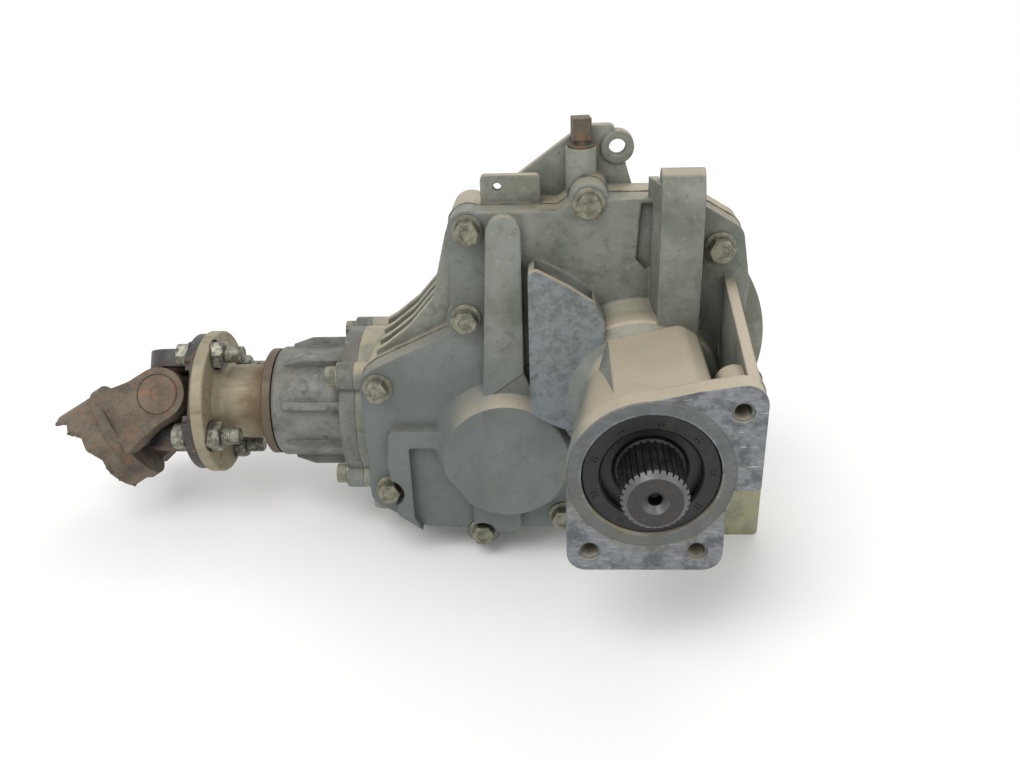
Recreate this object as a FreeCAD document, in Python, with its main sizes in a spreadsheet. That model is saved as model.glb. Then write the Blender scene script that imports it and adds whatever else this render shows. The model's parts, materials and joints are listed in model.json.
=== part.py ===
import FreeCAD, Part
import math
import os
import Sketcher

# Right-angle transfer case: a drive gear round the output shaft turns a counter shaft beside it,
# whose ring gear turns a pinion that leaves to the left through a companion flange and a
# universal joint.
# Row frame: origin on the output shaft's axis at the mating plane, +X right, +Z up, and the
# output shaft points along -Y. Stations called front are measured from the mating plane towards
# -Y. Stations called out are measured from the output shaft's axis towards -X.

SIZES = {
    # shaft layout
    "counter_across": 75.0,
    "counter_drop": 44.0,
    "pinion_front": 22.0,
    # fits and gaps
    "seat_gap": 0.02,
    "running_gap": 0.05,
    "rolling_gap": 0.2,
    "bolt_gap": 0.5,
    "tap_gap": 0.03,
    # stations along the output shaft
    "split_front": 71.0,
    "gasket_thick": 0.5,
    "seat_front": 86.0,
    "flange_front": 185.0,
    "shaft_front": 208.0,
    "cover_wall": 5.0,
    # case outline, seen from the front
    "case_left": 159.5,
    "case_low": 99.5,
    "case_top": 107.5,
    "shoulder_left": 103.5,
    "shoulder_top": 101.5,
    "shoulder_foot": 32.5,
    "case_wall": 8.0,
    "drum_radius": 67.0,
    "drum_room": 56.0,
    "ring_room": 51.5,
    "ring_bulge": 57.5,
    "lobe_right": 59.0,
    "rear_drop": 11.0,
    "rim_deep": 16.0,
    "eye_across": 11.6,
    "eye_up": 127.5,
    "eye_radius": 9.0,
    "eye_hole_radius": 4.6,
    "plug_across": 31.5,
    "plug_front": 62.0,
    "plug_boss_radius": 8.3,
    "plug_boss_top": 130.0,
    "plug_thread_radius": 5.0,
    "tab_top": 116.8,
    "drain_front": 34.0,
    "drain_boss_low": 106.0,
    "drain_thread_radius": 7.0,
    # bolts between cover and case
    "bolt_radius": 4.0,
    "bolt_length": 25.0,
    "housing_bolt_length": 24.0,
    "tap_room": 0.5,
    "bolt_head_across": 12.0,
    "bolt_head_high": 6.5,
    "bolt_washer_radius": 8.8,
    "bolt_washer_thick": 1.6,
    "bolt_boss_radius": 10.6,
    "dowel_radius": 6.4,
    "dowel_long": 14.0,
    # mating side
    "mating_radius": 82.0,
    "mating_thick": 27.0,
    "pilot_radius": 50.0,
    "pilot_long": 12.0,
    "pilot_ring_front": 4.5,
    "pilot_ring_thick": 3.5,
    "ring_groove_deep": 2.6,
    "mating_bolt_circle": 148.0,
    "mating_bolt_radius": 4.3,
    "mating_bolt_deep": 18.0,
    # support flange and tube
    "flange_thick": 11.0,
    "flange_ring": 41.0,
    "flange_left": 41.0,
    "flange_low": 56.0,
    "flange_right": 37.0,
    "flange_ear_right": 53.0,
    "flange_ear_top": 50.5,
    "flange_step": 8.5,
    "flange_hole_radius": 4.25,
    "flange_hole_left": 29.5,
    "flange_hole_right": 24.2,
    "flange_hole_low": 44.5,
    "flange_hole_ear_across": 41.5,
    "flange_hole_ear_up": 34.6,
    "tube_radius": 41.0,
    "tube_root_radius": 46.0,
    "tube_waist_radius": 32.0,
    "tube_room": 26.5,
    # output shaft
    "output_seal_radius": 34.0,
    "output_seal_thick": 10.0,
    "output_spline_radius": 16.2,
    "output_spline_teeth": 30,
    "output_spline_back": 180.0,
    "output_chamfer": 3.0,
    "output_body_radius": 13.0,
    "output_journal_radius": 17.5,
    "output_bearing_radius": 31.0,
    "output_bearing_front": 157.0,
    "output_bearing_thick": 14.0,
    "output_inner_radius": 14.0,
    "output_inner_back": -62.0,
    "inner_spline_teeth": 26,
    # input shaft and helical gears
    "input_bore": 15.5,
    "input_journal_radius": 25.0,
    "input_spline_radius": 22.0,
    "input_spline_teeth": 28,
    "input_back": -40.0,
    "input_front": 100.0,
    "input_bearing_radius": 40.0,
    "input_bearing_thick": 16.0,
    "input_bearing_back": 8.0,
    "input_seal_radius": 36.0,
    "input_seal_thick": 8.0,
    "gear_front": 70.5,
    "gear_thick": 16.0,
    "drive_teeth": 46,
    "driven_teeth": 34,
    "gear_seat_radius": 27.0,
    "helix_angle": 18.0,
    "backlash": 0.3,
    # counter shaft and bevel gears
    "bevel_module": 3.05,
    "ring_teeth": 31,
    "pinion_teeth": 13,
    "bevel_face": 15.0,
    "ring_back": 32.0,
    "counter_flange_radius": 42.0,
    "counter_flange_thick": 8.0,
    "counter_seat_radius": 20.0,
    "ring_bolt_circle": 64.0,
    "ring_bolt_radius": 4.0,
    "ring_bolt_count": 8,
    "ring_bolt_sunk": 5.0,
    "ring_bolt_length": 12.0,
    "counter_back_radius": 10.0,
    "counter_back_outer": 23.5,
    "counter_back_thick": 15.0,
    "counter_back_front": 6.0,
    "counter_front_radius": 14.0,
    "counter_front_outer": 29.0,
    "counter_front_thick": 15.0,
    "counter_boss_radius": 38.5,
    "counter_boss_front": 101.0,
    # pinion and its housing
    "nose_face_out": 168.0,
    "nose_flange_thick": 10.0,
    "nose_flange_radius": 48.5,
    "nose_ear_radius": 9.0,
    "nose_bolt_circle": 98.0,
    "spigot_radius": 42.0,
    "spigot_out": 127.0,
    "nose_radius": 35.5,
    "nose_end_out": 224.5,
    "nose_rib_high": 6.0,
    "nose_rib_thick": 5.0,
    "nose_rib_count": 8,
    "head_bore": 15.0,
    "head_outer": 31.0,
    "head_thick": 17.0,
    "shim_thick": 0.5,
    "tail_bore": 12.5,
    "tail_outer": 26.0,
    "tail_thick": 16.0,
    "tail_out": 200.0,
    "pinion_seal_radius": 29.5,
    "pinion_seal_thick": 7.5,
    "hub_journal_radius": 20.0,
    "hub_radius": 24.0,
    "deflector_radius": 34.4,
    "companion_out": 264.0,
    "companion_thick": 8.0,
    "companion_radius": 46.3,
    "companion_recess": 17.5,
    "pinion_spline_radius": 11.9,
    "pinion_thread_radius": 9.0,
    "nut_across": 26.0,
    "nut_high": 11.0,
    # universal joint
    "cross_out": 298.0,
    "joint_turn": 36.0,
    "droop": 33.0,
    "yoke_plate_thick": 7.0,
    "yoke_plate_radius": 44.5,
    "yoke_bolt_circle": 74.0,
    "yoke_bolt_radius": 5.0,
    "yoke_bolt_length": 34.0,
    "cap_radius": 13.0,
    "cap_inner": 18.0,
    "cap_outer": 32.5,
    "cap_floor": 2.0,
    "trunnion_radius": 8.0,
    "ear_radius": 17.2,
    "ear_thick": 11.5,
    "collar_out": 34.0,
    "collar_thick": 6.0,
    "collar_radius": 34.0,
    "prop_tube_radius": 32.0,
    "prop_tube_wall": 2.6,
    "prop_tube_long": 29.0,
}

# Places of the bolts between cover and case: right of and above the output shaft's axis.
COVER_BOLTS = {
    "upper_left": (-92.7, 92.0),
    "middle_left": (-95.8, 40.9),
    "end_upper": (-149.2, -2.1),
    "end_lower": (-147.4, -71.0),
    "low_left": (-91.6, -101.6),
    "low_middle": (-42.4, -90.4),
    "top_middle": (-27.8, 105.7),
    "top_right": (42.1, 80.4),
    "right_middle": (63.5, -8.0),
    "right_low": (46.0, -47.0),
    "low_right": (6.0, -71.5),
}


class Size(float):
    """A number that keeps the sheet formula it comes from, so that features can be bound to it."""

    def __new__(cls, value, formula):
        size = super().__new__(cls, value)
        size.formula = formula
        return size

    def __add__(self, other):
        return Size(float(self) + float(other), f"({formula_of(self)} + {formula_of(other)})")

    def __radd__(self, other):
        return Size(float(self) + float(other), f"({formula_of(other)} + {formula_of(self)})")

    def __sub__(self, other):
        return Size(float(self) - float(other), f"({formula_of(self)} - {formula_of(other)})")

    def __rsub__(self, other):
        return Size(float(other) - float(self), f"({formula_of(other)} - {formula_of(self)})")

    def __mul__(self, other):
        return Size(float(self) * float(other), f"({formula_of(self)} * {formula_of(other)})")

    def __rmul__(self, other):
        return Size(float(self) * float(other), f"({formula_of(other)} * {formula_of(self)})")

    def __truediv__(self, other):
        return Size(float(self) / float(other), f"({formula_of(self)} / {formula_of(other)})")

    def __neg__(self):
        return Size(-float(self), f"(0 - {formula_of(self)})")


def formula_of(value):
    """The sheet formula of a size, or a plain number as text."""
    if isinstance(value, Size):
        return value.formula
    return format(float(value), ".9f")


def cos_of(angle):
    return Size(math.cos(math.radians(angle)), f"cos({formula_of(angle)} * 1 deg)")


def sin_of(angle):
    return Size(math.sin(math.radians(angle)), f"sin({formula_of(angle)} * 1 deg)")


class Sizes:
    """The driving dimensions, read back from the document's sheet by name."""

    def __init__(self, sheet, values):
        for row, (name, value) in enumerate(values.items(), 1):
            sheet.set(f"A{row}", name)
            sheet.set(f"B{row}", str(value))
            sheet.setAlias(f"B{row}", name)
            setattr(self, name, Size(value, f"Dims.{name}"))


V = FreeCAD.Vector
doc = FreeCAD.newDocument("TransferCase")
dims_sheet = doc.addObject("Spreadsheet::Sheet", "Dims")
bolt_sizes = {}
for place, (across, up) in COVER_BOLTS.items():
    bolt_sizes[f"bolt_{place}_across"] = across
    bolt_sizes[f"bolt_{place}_up"] = up
d = Sizes(dims_sheet, {**SIZES, **bolt_sizes})
doc.recompute()
cover_bolt_places = [
    (getattr(d, f"bolt_{place}_across"), getattr(d, f"bolt_{place}_up")) for place in COVER_BOLTS
]

nodes = {}

# Helpers: frames, bodies, sketches and features


def turned_about(axis, angle):
    return FreeCAD.Placement(V(0, 0, 0), FreeCAD.Rotation(axis, float(angle)))


def shifted(x, y, z):
    return FreeCAD.Placement(V(float(x), float(y), float(z)), FreeCAD.Rotation())


FACING_FRONT = turned_about(V(1, 0, 0), 90)
FACING_LEFT = turned_about(V(0, 1, 0), -90)
OUTPUT_AXIS = FACING_FRONT
COUNTER_AXIS = shifted(-d.counter_across, 0, -d.counter_drop) * FACING_FRONT
PINION_AXIS = shifted(0, -d.pinion_front, -d.counter_drop) * FACING_LEFT
JOINT_FRAME = PINION_AXIS * shifted(0, 0, d.cross_out) * turned_about(V(0, 0, 1), d.joint_turn)
PROP_FRAME = JOINT_FRAME * turned_about(V(0, 1, 0), -d.droop)


def bind(thing, prop, value):
    """Set one property, and bind it to the sheet where its value comes from there."""
    if prop == "Occurrences":
        thing.Occurrences = int(value)
    elif "." not in prop:
        setattr(thing, prop, float(value))
    if isinstance(value, Size) or "." in prop:
        thing.setExpression(prop, formula_of(value))


def new_body(name, frame):
    body = doc.addObject("PartDesign::Body", name)
    body.Label = name
    body.Placement = frame
    return body


def keep(label, thing):
    """Register one finished sub-part under the name that its file gets."""
    thing.Label = label
    nodes[label] = thing
    return thing


def sketch_in(body, plane="XY_Plane", offset=0.0):
    sketch = body.newObject("Sketcher::SketchObject", body.Name + "_sketch")
    support = [feature for feature in body.Origin.OriginFeatures if feature.Role == plane][0]
    sketch.AttachmentSupport = [(support, "")]
    sketch.MapMode = "FlatFace"
    bind(sketch, "AttachmentOffset.Base.z", offset)
    return sketch


def add_bound(sketch, kind, *args):
    """Add one constraint whose last argument is a size, and bind it."""
    value = args[-1]
    index = sketch.addConstraint(Sketcher.Constraint(kind, *args[:-1], float(value)))
    if isinstance(value, Size):
        sketch.setExpression(f"Constraints[{index}]", value.formula)


def pin_point(sketch, geometry, point, x, y):
    add_bound(sketch, "DistanceX", -1, 1, geometry, point, x)
    add_bound(sketch, "DistanceY", -1, 1, geometry, point, y)


def add_circle(sketch, x, y, radius):
    index = sketch.addGeometry(Part.Circle(V(x, y, 0), V(0, 0, 1), float(radius)))
    pin_point(sketch, index, 3, x, y)
    add_bound(sketch, "Radius", index, radius)


def corner_arc(before, corner, after, radius):
    """Tangent points, centre and turning side of the arc that rounds one corner."""
    back = (before - corner).normalize()
    ahead = (after - corner).normalize()
    half = back.getAngle(ahead) / 2
    reach = radius / math.tan(half)
    middle = (back + ahead).normalize() * (radius / math.sin(half))
    left_turn = back.cross(ahead).z < 0
    return corner + back * reach, corner + ahead * reach, corner + middle, left_turn


def add_outline(sketch, corners):
    """A closed outline through corners (x, y) or (x, y, rounding radius)."""
    points = [V(float(corner[0]), float(corner[1]), 0) for corner in corners]
    count = len(points)
    starts = {}
    ends = {}
    arcs = {}
    for index, corner in enumerate(corners):
        radius = float(corner[2]) if len(corner) > 2 else 0.0
        starts[index] = ends[index] = points[index]
        if radius > 0:
            arrive, leave, centre, left = corner_arc(
                points[index - 1], points[index], points[(index + 1) % count], radius)
            ends[index] = arrive
            starts[index] = leave
            first, last = (arrive, leave) if left else (leave, arrive)
            circle = Part.Circle(centre, V(0, 0, 1), radius)
            arcs[index] = (Part.ArcOfCircle(circle, circle.parameter(first), circle.parameter(last)),
                           left, corner[2])
    lines = []
    for index in range(count):
        finish = ends[(index + 1) % count]
        lines.append(sketch.addGeometry(Part.LineSegment(starts[index], finish)))
    for index in range(count):
        before = lines[index - 1]
        after = lines[index]
        if index not in arcs:
            sketch.addConstraint(Sketcher.Constraint("Coincident", before, 2, after, 1))
            pin_point(sketch, after, 1, corners[index][0], corners[index][1])
            continue
        arc, left, radius = arcs[index]
        arc_index = sketch.addGeometry(arc)
        arrive_end, leave_end = (1, 2) if left else (2, 1)
        mark = sketch.addGeometry(Part.Point(points[index]), True)
        pin_point(sketch, mark, 1, corners[index][0], corners[index][1])
        sketch.addConstraint(Sketcher.Constraint("PointOnObject", mark, 1, before))
        sketch.addConstraint(Sketcher.Constraint("PointOnObject", mark, 1, after))
        sketch.addConstraint(Sketcher.Constraint("Tangent", before, 2, arc_index, arrive_end))
        sketch.addConstraint(Sketcher.Constraint("Tangent", after, 1, arc_index, leave_end))
        add_bound(sketch, "Radius", arc_index, radius)


def add_feature(body, kind, sketch, length, backwards=False):
    feature = body.newObject("PartDesign::" + kind, body.Name + "_" + kind.lower())
    feature.Profile = sketch
    bind(feature, "Length", length)
    feature.Reversed = backwards
    return feature


def pad(body, shapes, start, end, plane="XY_Plane"):
    """Add material between two stations, over circles (x, y, radius) or one list of corners."""
    sketch = sketch_in(body, plane, start)
    draw(sketch, shapes)
    return add_feature(body, "Pad", sketch, end - start)


def pocket(body, shapes, start, end, plane="XY_Plane"):
    """Cut material between two stations."""
    sketch = sketch_in(body, plane, start)
    draw(sketch, shapes)
    return add_feature(body, "Pocket", sketch, end - start, True)


def draw(sketch, shapes):
    """A list of corners makes one outline; a dictionary holds several circles."""
    if isinstance(shapes, dict):
        for x, y, radius in shapes["circles"]:
            add_circle(sketch, x, y, radius)
    else:
        add_outline(sketch, shapes)


def circles(*places):
    return {"circles": list(places)}


def ring_of_circles(count, circle_radius, radius, first=0.0):
    """Equal circles spread evenly on a bolt circle, the first at the angle given."""
    step = 360.0 / count
    return circles(*[
        (circle_radius * cos_of(first + index * step), circle_radius * sin_of(first + index * step), radius)
        for index in range(count)])


def revolve(body, profile, kind="Revolution"):
    """Turn a profile of (radius, station) corners about the body's own Z axis."""
    sketch = sketch_in(body, "XZ_Plane")
    draw(sketch, profile)
    feature = body.newObject("PartDesign::" + kind, body.Name + "_" + kind.lower())
    feature.Profile = sketch
    feature.ReferenceAxis = (sketch, ["V_Axis"])
    feature.Angle = 360
    return feature


def turned(label, frame, profile):
    body = new_body(label, frame)
    revolve(body, profile)
    return keep(label, body)


def ring_profile(inner, outer, start, end):
    return [(inner, start), (outer, start), (outer, end), (inner, end)]


def pattern(body, feature, count):
    """Repeat one feature round the body's own Z axis."""
    z_axis = [item for item in body.Origin.OriginFeatures if item.Role == "Z_Axis"][0]
    doc.recompute()
    repeated = body.newObject("PartDesign::PolarPattern", body.Name + "_pattern")
    repeated.Originals = [feature]
    repeated.Axis = (z_axis, [""])
    repeated.Angle = 360
    bind(repeated, "Occurrences", count)
    body.Tip = repeated
    return repeated


def group(label, pieces):
    """One node of several separate solids."""
    compound = doc.addObject("Part::Compound", label)
    compound.Links = pieces
    return keep(label, compound)


def copies(master, frames):
    """Linked copies of one piece, each in its own frame."""
    links = []
    for frame in frames:
        link = doc.addObject("App::Link", master.Name + "_copy")
        link.LinkedObject = master
        link.Placement = frame
        links.append(link)
    return links


def around(frame, count, first=0.0):
    """Frames spread evenly about a frame's own Z axis."""
    return [frame * turned_about(V(0, 0, 1), first + index * 360.0 / count) for index in range(count)]


def hexagon(across):
    reach = across / (2 * math.cos(math.radians(30)))
    return [(reach * cos_of(60.0 * side), reach * sin_of(60.0 * side)) for side in range(6)]


def flange_bolt(name, radius, length, across, head_high, washer_radius, washer_thick):
    """A flange bolt standing on its seat at Z = 0, its shank going down."""
    body = new_body(name, FreeCAD.Placement())
    revolve(body, [(0, -length), (radius - 0.8, -length), (radius, 0.8 - length), (radius, 0),
                   (washer_radius, 0), (washer_radius, washer_thick * 0.6),
                   (across * 0.56, washer_thick), (0, washer_thick)])
    pad(body, hexagon(across), washer_thick * 0.5, washer_thick + head_high)
    top = washer_thick + head_high
    revolve(body, [(across * 0.5, top + 1), (across * 0.5, top), (across * 0.6, top - across * 0.06),
                   (across * 0.7, top - across * 0.06), (across * 0.7, top + 1)], "Groove")
    pocket(body, circles((0, 0, across * 0.3)), top - 0.5, top + 1)
    return body


def hex_nut(name, across, bore, high):
    """A plain nut standing on its seat at Z = 0."""
    body = new_body(name, FreeCAD.Placement())
    pad(body, hexagon(across), 0.0, high)
    pocket(body, circles((0, 0, bore)), 0.0, high)
    revolve(body, [(across * 0.5, high + 1), (across * 0.5, high), (across * 0.6, high - across * 0.06),
                   (across * 0.7, high - across * 0.06), (across * 0.7, high + 1)], "Groove")
    return body


# Gear teeth


def involute(angle):
    return math.tan(angle) - angle


PRESSURE_ANGLE = math.radians(20)


def half_tooth_angle(pitch_radius, tooth_angle, radius, play):
    """Half the angle that a tooth covers at one radius, thinned by its share of the play."""
    base = pitch_radius * math.cos(PRESSURE_ANGLE)
    here = math.acos(min(1.0, base / radius))
    return tooth_angle / 4 - play / (2 * pitch_radius) + involute(PRESSURE_ANGLE) - involute(here)


def tooth_ring(teeth, flank, station, turn):
    """A closed wire round all the teeth in the plane of one station.

    flank is a list of (radius, half angle) from root to tip."""
    def at(radius, angle):
        return V(radius * math.cos(angle), radius * math.sin(angle), station)

    step = 2 * math.pi / teeth
    edges = []
    for tooth in range(teeth):
        middle = turn + tooth * step
        rising = [at(radius, middle - half) for radius, half in flank]
        falling = [at(radius, middle + half) for radius, half in reversed(flank)]
        for side in (rising, falling):
            curve = Part.BSplineCurve()
            curve.interpolate(side)
            edges.append(curve.toShape())
            if side is rising:
                edges.append(Part.Arc(rising[-1], at(flank[-1][0], middle), falling[0]).toShape())
        root, root_half = flank[0]
        following = at(root, middle + step - root_half)
        edges.append(Part.Arc(falling[-1], at(root, middle + step / 2), following).toShape())
    return Part.Wire(edges)


def spur_flank(teeth, pitch_radius, play):
    module = 2 * pitch_radius / teeth
    root = pitch_radius - 1.25 * module
    tip = pitch_radius + module
    count = 4
    radii = [root + (tip - root) * index / count for index in range(count + 1)]
    return [(radius, half_tooth_angle(pitch_radius, 2 * math.pi / teeth, radius, play)) for radius in radii]


def helical_gear(label, frame, teeth, pitch_radius, helix, turn, bore):
    """A helical gear centred on the gear plane, its bore left open for its seat."""
    flank = spur_flank(teeth, pitch_radius, float(d.backlash))
    half_width = float(d.gear_thick) / 2
    half_twist = half_width * math.tan(math.radians(helix)) / pitch_radius
    middle = float(d.gear_front)
    wires = [tooth_ring(teeth, flank, middle + side * half_width, turn + side * half_twist) for side in (-1, 1)]
    blank = Part.makeLoft(wires, True, True)
    hole = Part.makeCylinder(bore, 4 * half_width, V(0, 0, middle - 2 * half_width))
    feature = doc.addObject("Part::Feature", label)
    feature.Shape = blank.cut(hole)
    feature.Placement = frame
    return keep(label, feature)


def bevel_fan(teeth, pitch_angle, cone_distance, tip_high, root_deep, turn, near, far, play):
    """All the teeth of a bevel gear as rays from its apex, between two stations on its axis."""
    pitch_radius = cone_distance * math.sin(pitch_angle)
    virtual_radius = pitch_radius / math.cos(pitch_angle)
    count = 4
    flank = []
    for index in range(count + 1):
        high = -root_deep + (tip_high + root_deep) * index / count
        tooth_angle = 2 * math.pi * math.cos(pitch_angle) / teeth
        half = half_tooth_angle(virtual_radius, tooth_angle, virtual_radius + high, play)
        flank.append((math.tan(pitch_angle + math.atan(high / cone_distance)), half / math.cos(pitch_angle)))
    wires = []
    for station in (near, far):
        scaled = [(radius * station, half) for radius, half in flank]
        wires.append(tooth_ring(teeth, scaled, station, turn))
    return Part.makeLoft(wires, True, True)


# Layout values that follow from the sizes

shaft_centres = math.hypot(d.counter_across, d.counter_drop)
drive_pitch = shaft_centres * d.drive_teeth / (d.drive_teeth + d.driven_teeth)
driven_pitch = shaft_centres - drive_pitch
mesh_angle = math.atan2(-d.counter_drop, -d.counter_across)
ring_pitch = d.ring_teeth * d.bevel_module / 2
pinion_pitch = d.pinion_teeth * d.bevel_module / 2
cone_distance = math.hypot(ring_pitch, pinion_pitch)
inner_share = (cone_distance - d.bevel_face) / cone_distance
ring_angle = math.atan2(ring_pitch, pinion_pitch)
pinion_angle = math.pi / 2 - ring_angle
apex_out = d.counter_across
ring_tip_high = 0.65 * d.bevel_module
ring_root_deep = 1.35 * d.bevel_module
pinion_tip_high = 1.15 * d.bevel_module
pinion_root_deep = 0.85 * d.bevel_module

cover_floor = d.seat_front - d.cover_wall
gasket_front = d.split_front + d.gasket_thick
ring_back_front = d.pinion_front + d.ring_back
counter_flange_front = ring_back_front + d.counter_flange_thick
ring_bolt_seat = counter_flange_front - d.ring_bolt_sunk
seal_back = d.flange_front - d.output_seal_thick - 1.0
oring_out = d.nose_face_out - 10
head_out = d.spigot_out + 0.5
head_end = head_out + d.head_thick
shim_end = head_end + d.shim_thick
tail_end = d.tail_out + d.tail_thick
nut_seat = d.companion_out - 9
companion_face = d.companion_out + d.companion_thick
yoke_face = companion_face + d.yoke_plate_thick

# Castings

PLANE_TURNS = {
    "XY_Plane": FreeCAD.Rotation(),
    "YZ_Plane": FreeCAD.Rotation(V(1, 1, 1), 120),
    "XZ_Plane": FreeCAD.Rotation(V(1, 0, 0), 90),
}


def place_on(thing, plane, x, y, along):
    """Stand a solid or sketch on one of the frame's planes, bound to the sizes that place it."""
    thing.Placement = FreeCAD.Placement(V(0, 0, 0), PLANE_TURNS[plane])
    base = {"XY_Plane": (x, y, along), "YZ_Plane": (along, x, y), "XZ_Plane": (x, -along, y)}[plane]
    for letter, value in zip("xyz", base):
        bind(thing, "Placement.Base." + letter, value)


class Casting:
    """Solids that are joined and solids that are cut away from them, in one frame."""

    def __init__(self, name):
        self.name = name
        self.added = []
        self.removed = []

    def solids(self, shapes, start, end, plane):
        if isinstance(shapes, dict):
            made = []
            for x, y, radius in shapes["circles"]:
                cylinder = doc.addObject("Part::Cylinder", self.name + "_round")
                bind(cylinder, "Radius", radius)
                bind(cylinder, "Height", end - start)
                place_on(cylinder, plane, x, y, start)
                made.append(cylinder)
            return made
        sketch = doc.addObject("Sketcher::SketchObject", self.name + "_outline")
        place_on(sketch, plane, 0.0, 0.0, start)
        add_outline(sketch, shapes)
        block = doc.addObject("Part::Extrusion", self.name + "_block")
        block.Base = sketch
        block.DirMode = "Normal"
        block.Solid = True
        bind(block, "LengthFwd", end - start)
        return [block]

    def add(self, shapes, start, end, plane="XY_Plane"):
        self.added += self.solids(shapes, start, end, plane)

    def cut(self, shapes, start, end, plane="XY_Plane"):
        self.removed += self.solids(shapes, start, end, plane)

    def cone(self, x, y, wide, narrow, start, end):
        """One tapered round solid along the frame's Z axis."""
        taper = doc.addObject("Part::Cone", self.name + "_taper")
        bind(taper, "Radius1", wide)
        bind(taper, "Radius2", narrow)
        bind(taper, "Height", end - start)
        place_on(taper, "XY_Plane", x, y, start)
        self.added.append(taper)

    def turn(self, profile):
        """One solid turned from a (radius, station) profile about the frame's Z axis."""
        sketch = doc.addObject("Sketcher::SketchObject", self.name + "_profile")
        place_on(sketch, "XZ_Plane", 0.0, 0.0, 0.0)
        add_outline(sketch, profile)
        solid = doc.addObject("Part::Revolution", self.name + "_turned")
        solid.Source = sketch
        solid.Axis = V(0, 0, 1)
        solid.Angle = 360
        solid.Solid = True
        return solid

    def joined(self, solids, what):
        if len(solids) == 1:
            return solids[0]
        whole = doc.addObject("Part::MultiFuse", self.name + what)
        whole.Shapes = solids
        return whole

    def finish(self, frame):
        result = doc.addObject("Part::Cut", self.name)
        result.Base = self.joined(self.added, "_joined")
        result.Tool = self.joined(self.removed, "_tools")
        result.Refine = True
        result.Placement = frame
        return keep(self.name, result)


def nose_bolt_places():
    """The four ears of the nose flange, as up and front offsets from the pinion axis."""
    reach = d.nose_bolt_circle / 2
    return [(reach * cos_of(angle), reach * sin_of(angle)) for angle in (45.0, 135.0, 225.0, 315.0)]


def case_outline(drop=0.0):
    """The rim shared by the case, the gasket and the cover, without its round right side."""
    left = d.shoulder_left
    top = d.shoulder_top - drop
    end = d.case_left
    low = d.case_low
    crown = d.case_top - drop
    return [
        (-left, top, 9), (-left, d.shoulder_foot, 6), (-(end - 6), d.shoulder_foot - 24, 10),
        (-end, -2, 8), (-end, 19.5 - low, 10), (27.5 - end, 2 - low, 14), (47.5 - end, -low, 8),
        (-30, -low, 10), (10, 19.5 - low, 8), (30, 0), (d.lobe_right - 2, 34, 4), (d.lobe_right, 60, 8),
        (54, crown - 17, 9), (26, crown, 14), (-36, crown, 5), (-44, top, 6)]


def cavity_outline(drop=0.0):
    """The inside of the case to the left of the drum, clear of every bolt boss."""
    wall = d.case_wall
    shoulder = d.shoulder_top - wall - 5.5 - drop
    crown = d.case_top - wall - drop
    return [
        (wall + 14.5 - d.shoulder_left, shoulder, 8),
        (wall + 14.5 - d.shoulder_left, 30, 8), (wall + 15.5 - d.case_left, 6, 9),
        (wall + 10.5 - d.case_left, -10, 6), (wall + 2.5 - d.case_left, -22, 6),
        (wall + 2.5 - d.case_left, -54, 6), (wall + 19.5 - d.case_left, -66, 8),
        (wall + 29.5 - d.case_left, wall + 0.5 - d.case_low, 8),
        (wall - 66, wall + 0.5 - d.case_low, 8), (wall - 58, -74, 6), (wall - 18, -40), (10, 0),
        (14, 40), (12, crown - 2.5, 8), (-14, crown - 4.5, 6), (-22, shoulder, 6)]


def bolt_holes(radius):
    return circles(*[(across, up, radius) for across, up in cover_bolt_places])


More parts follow.
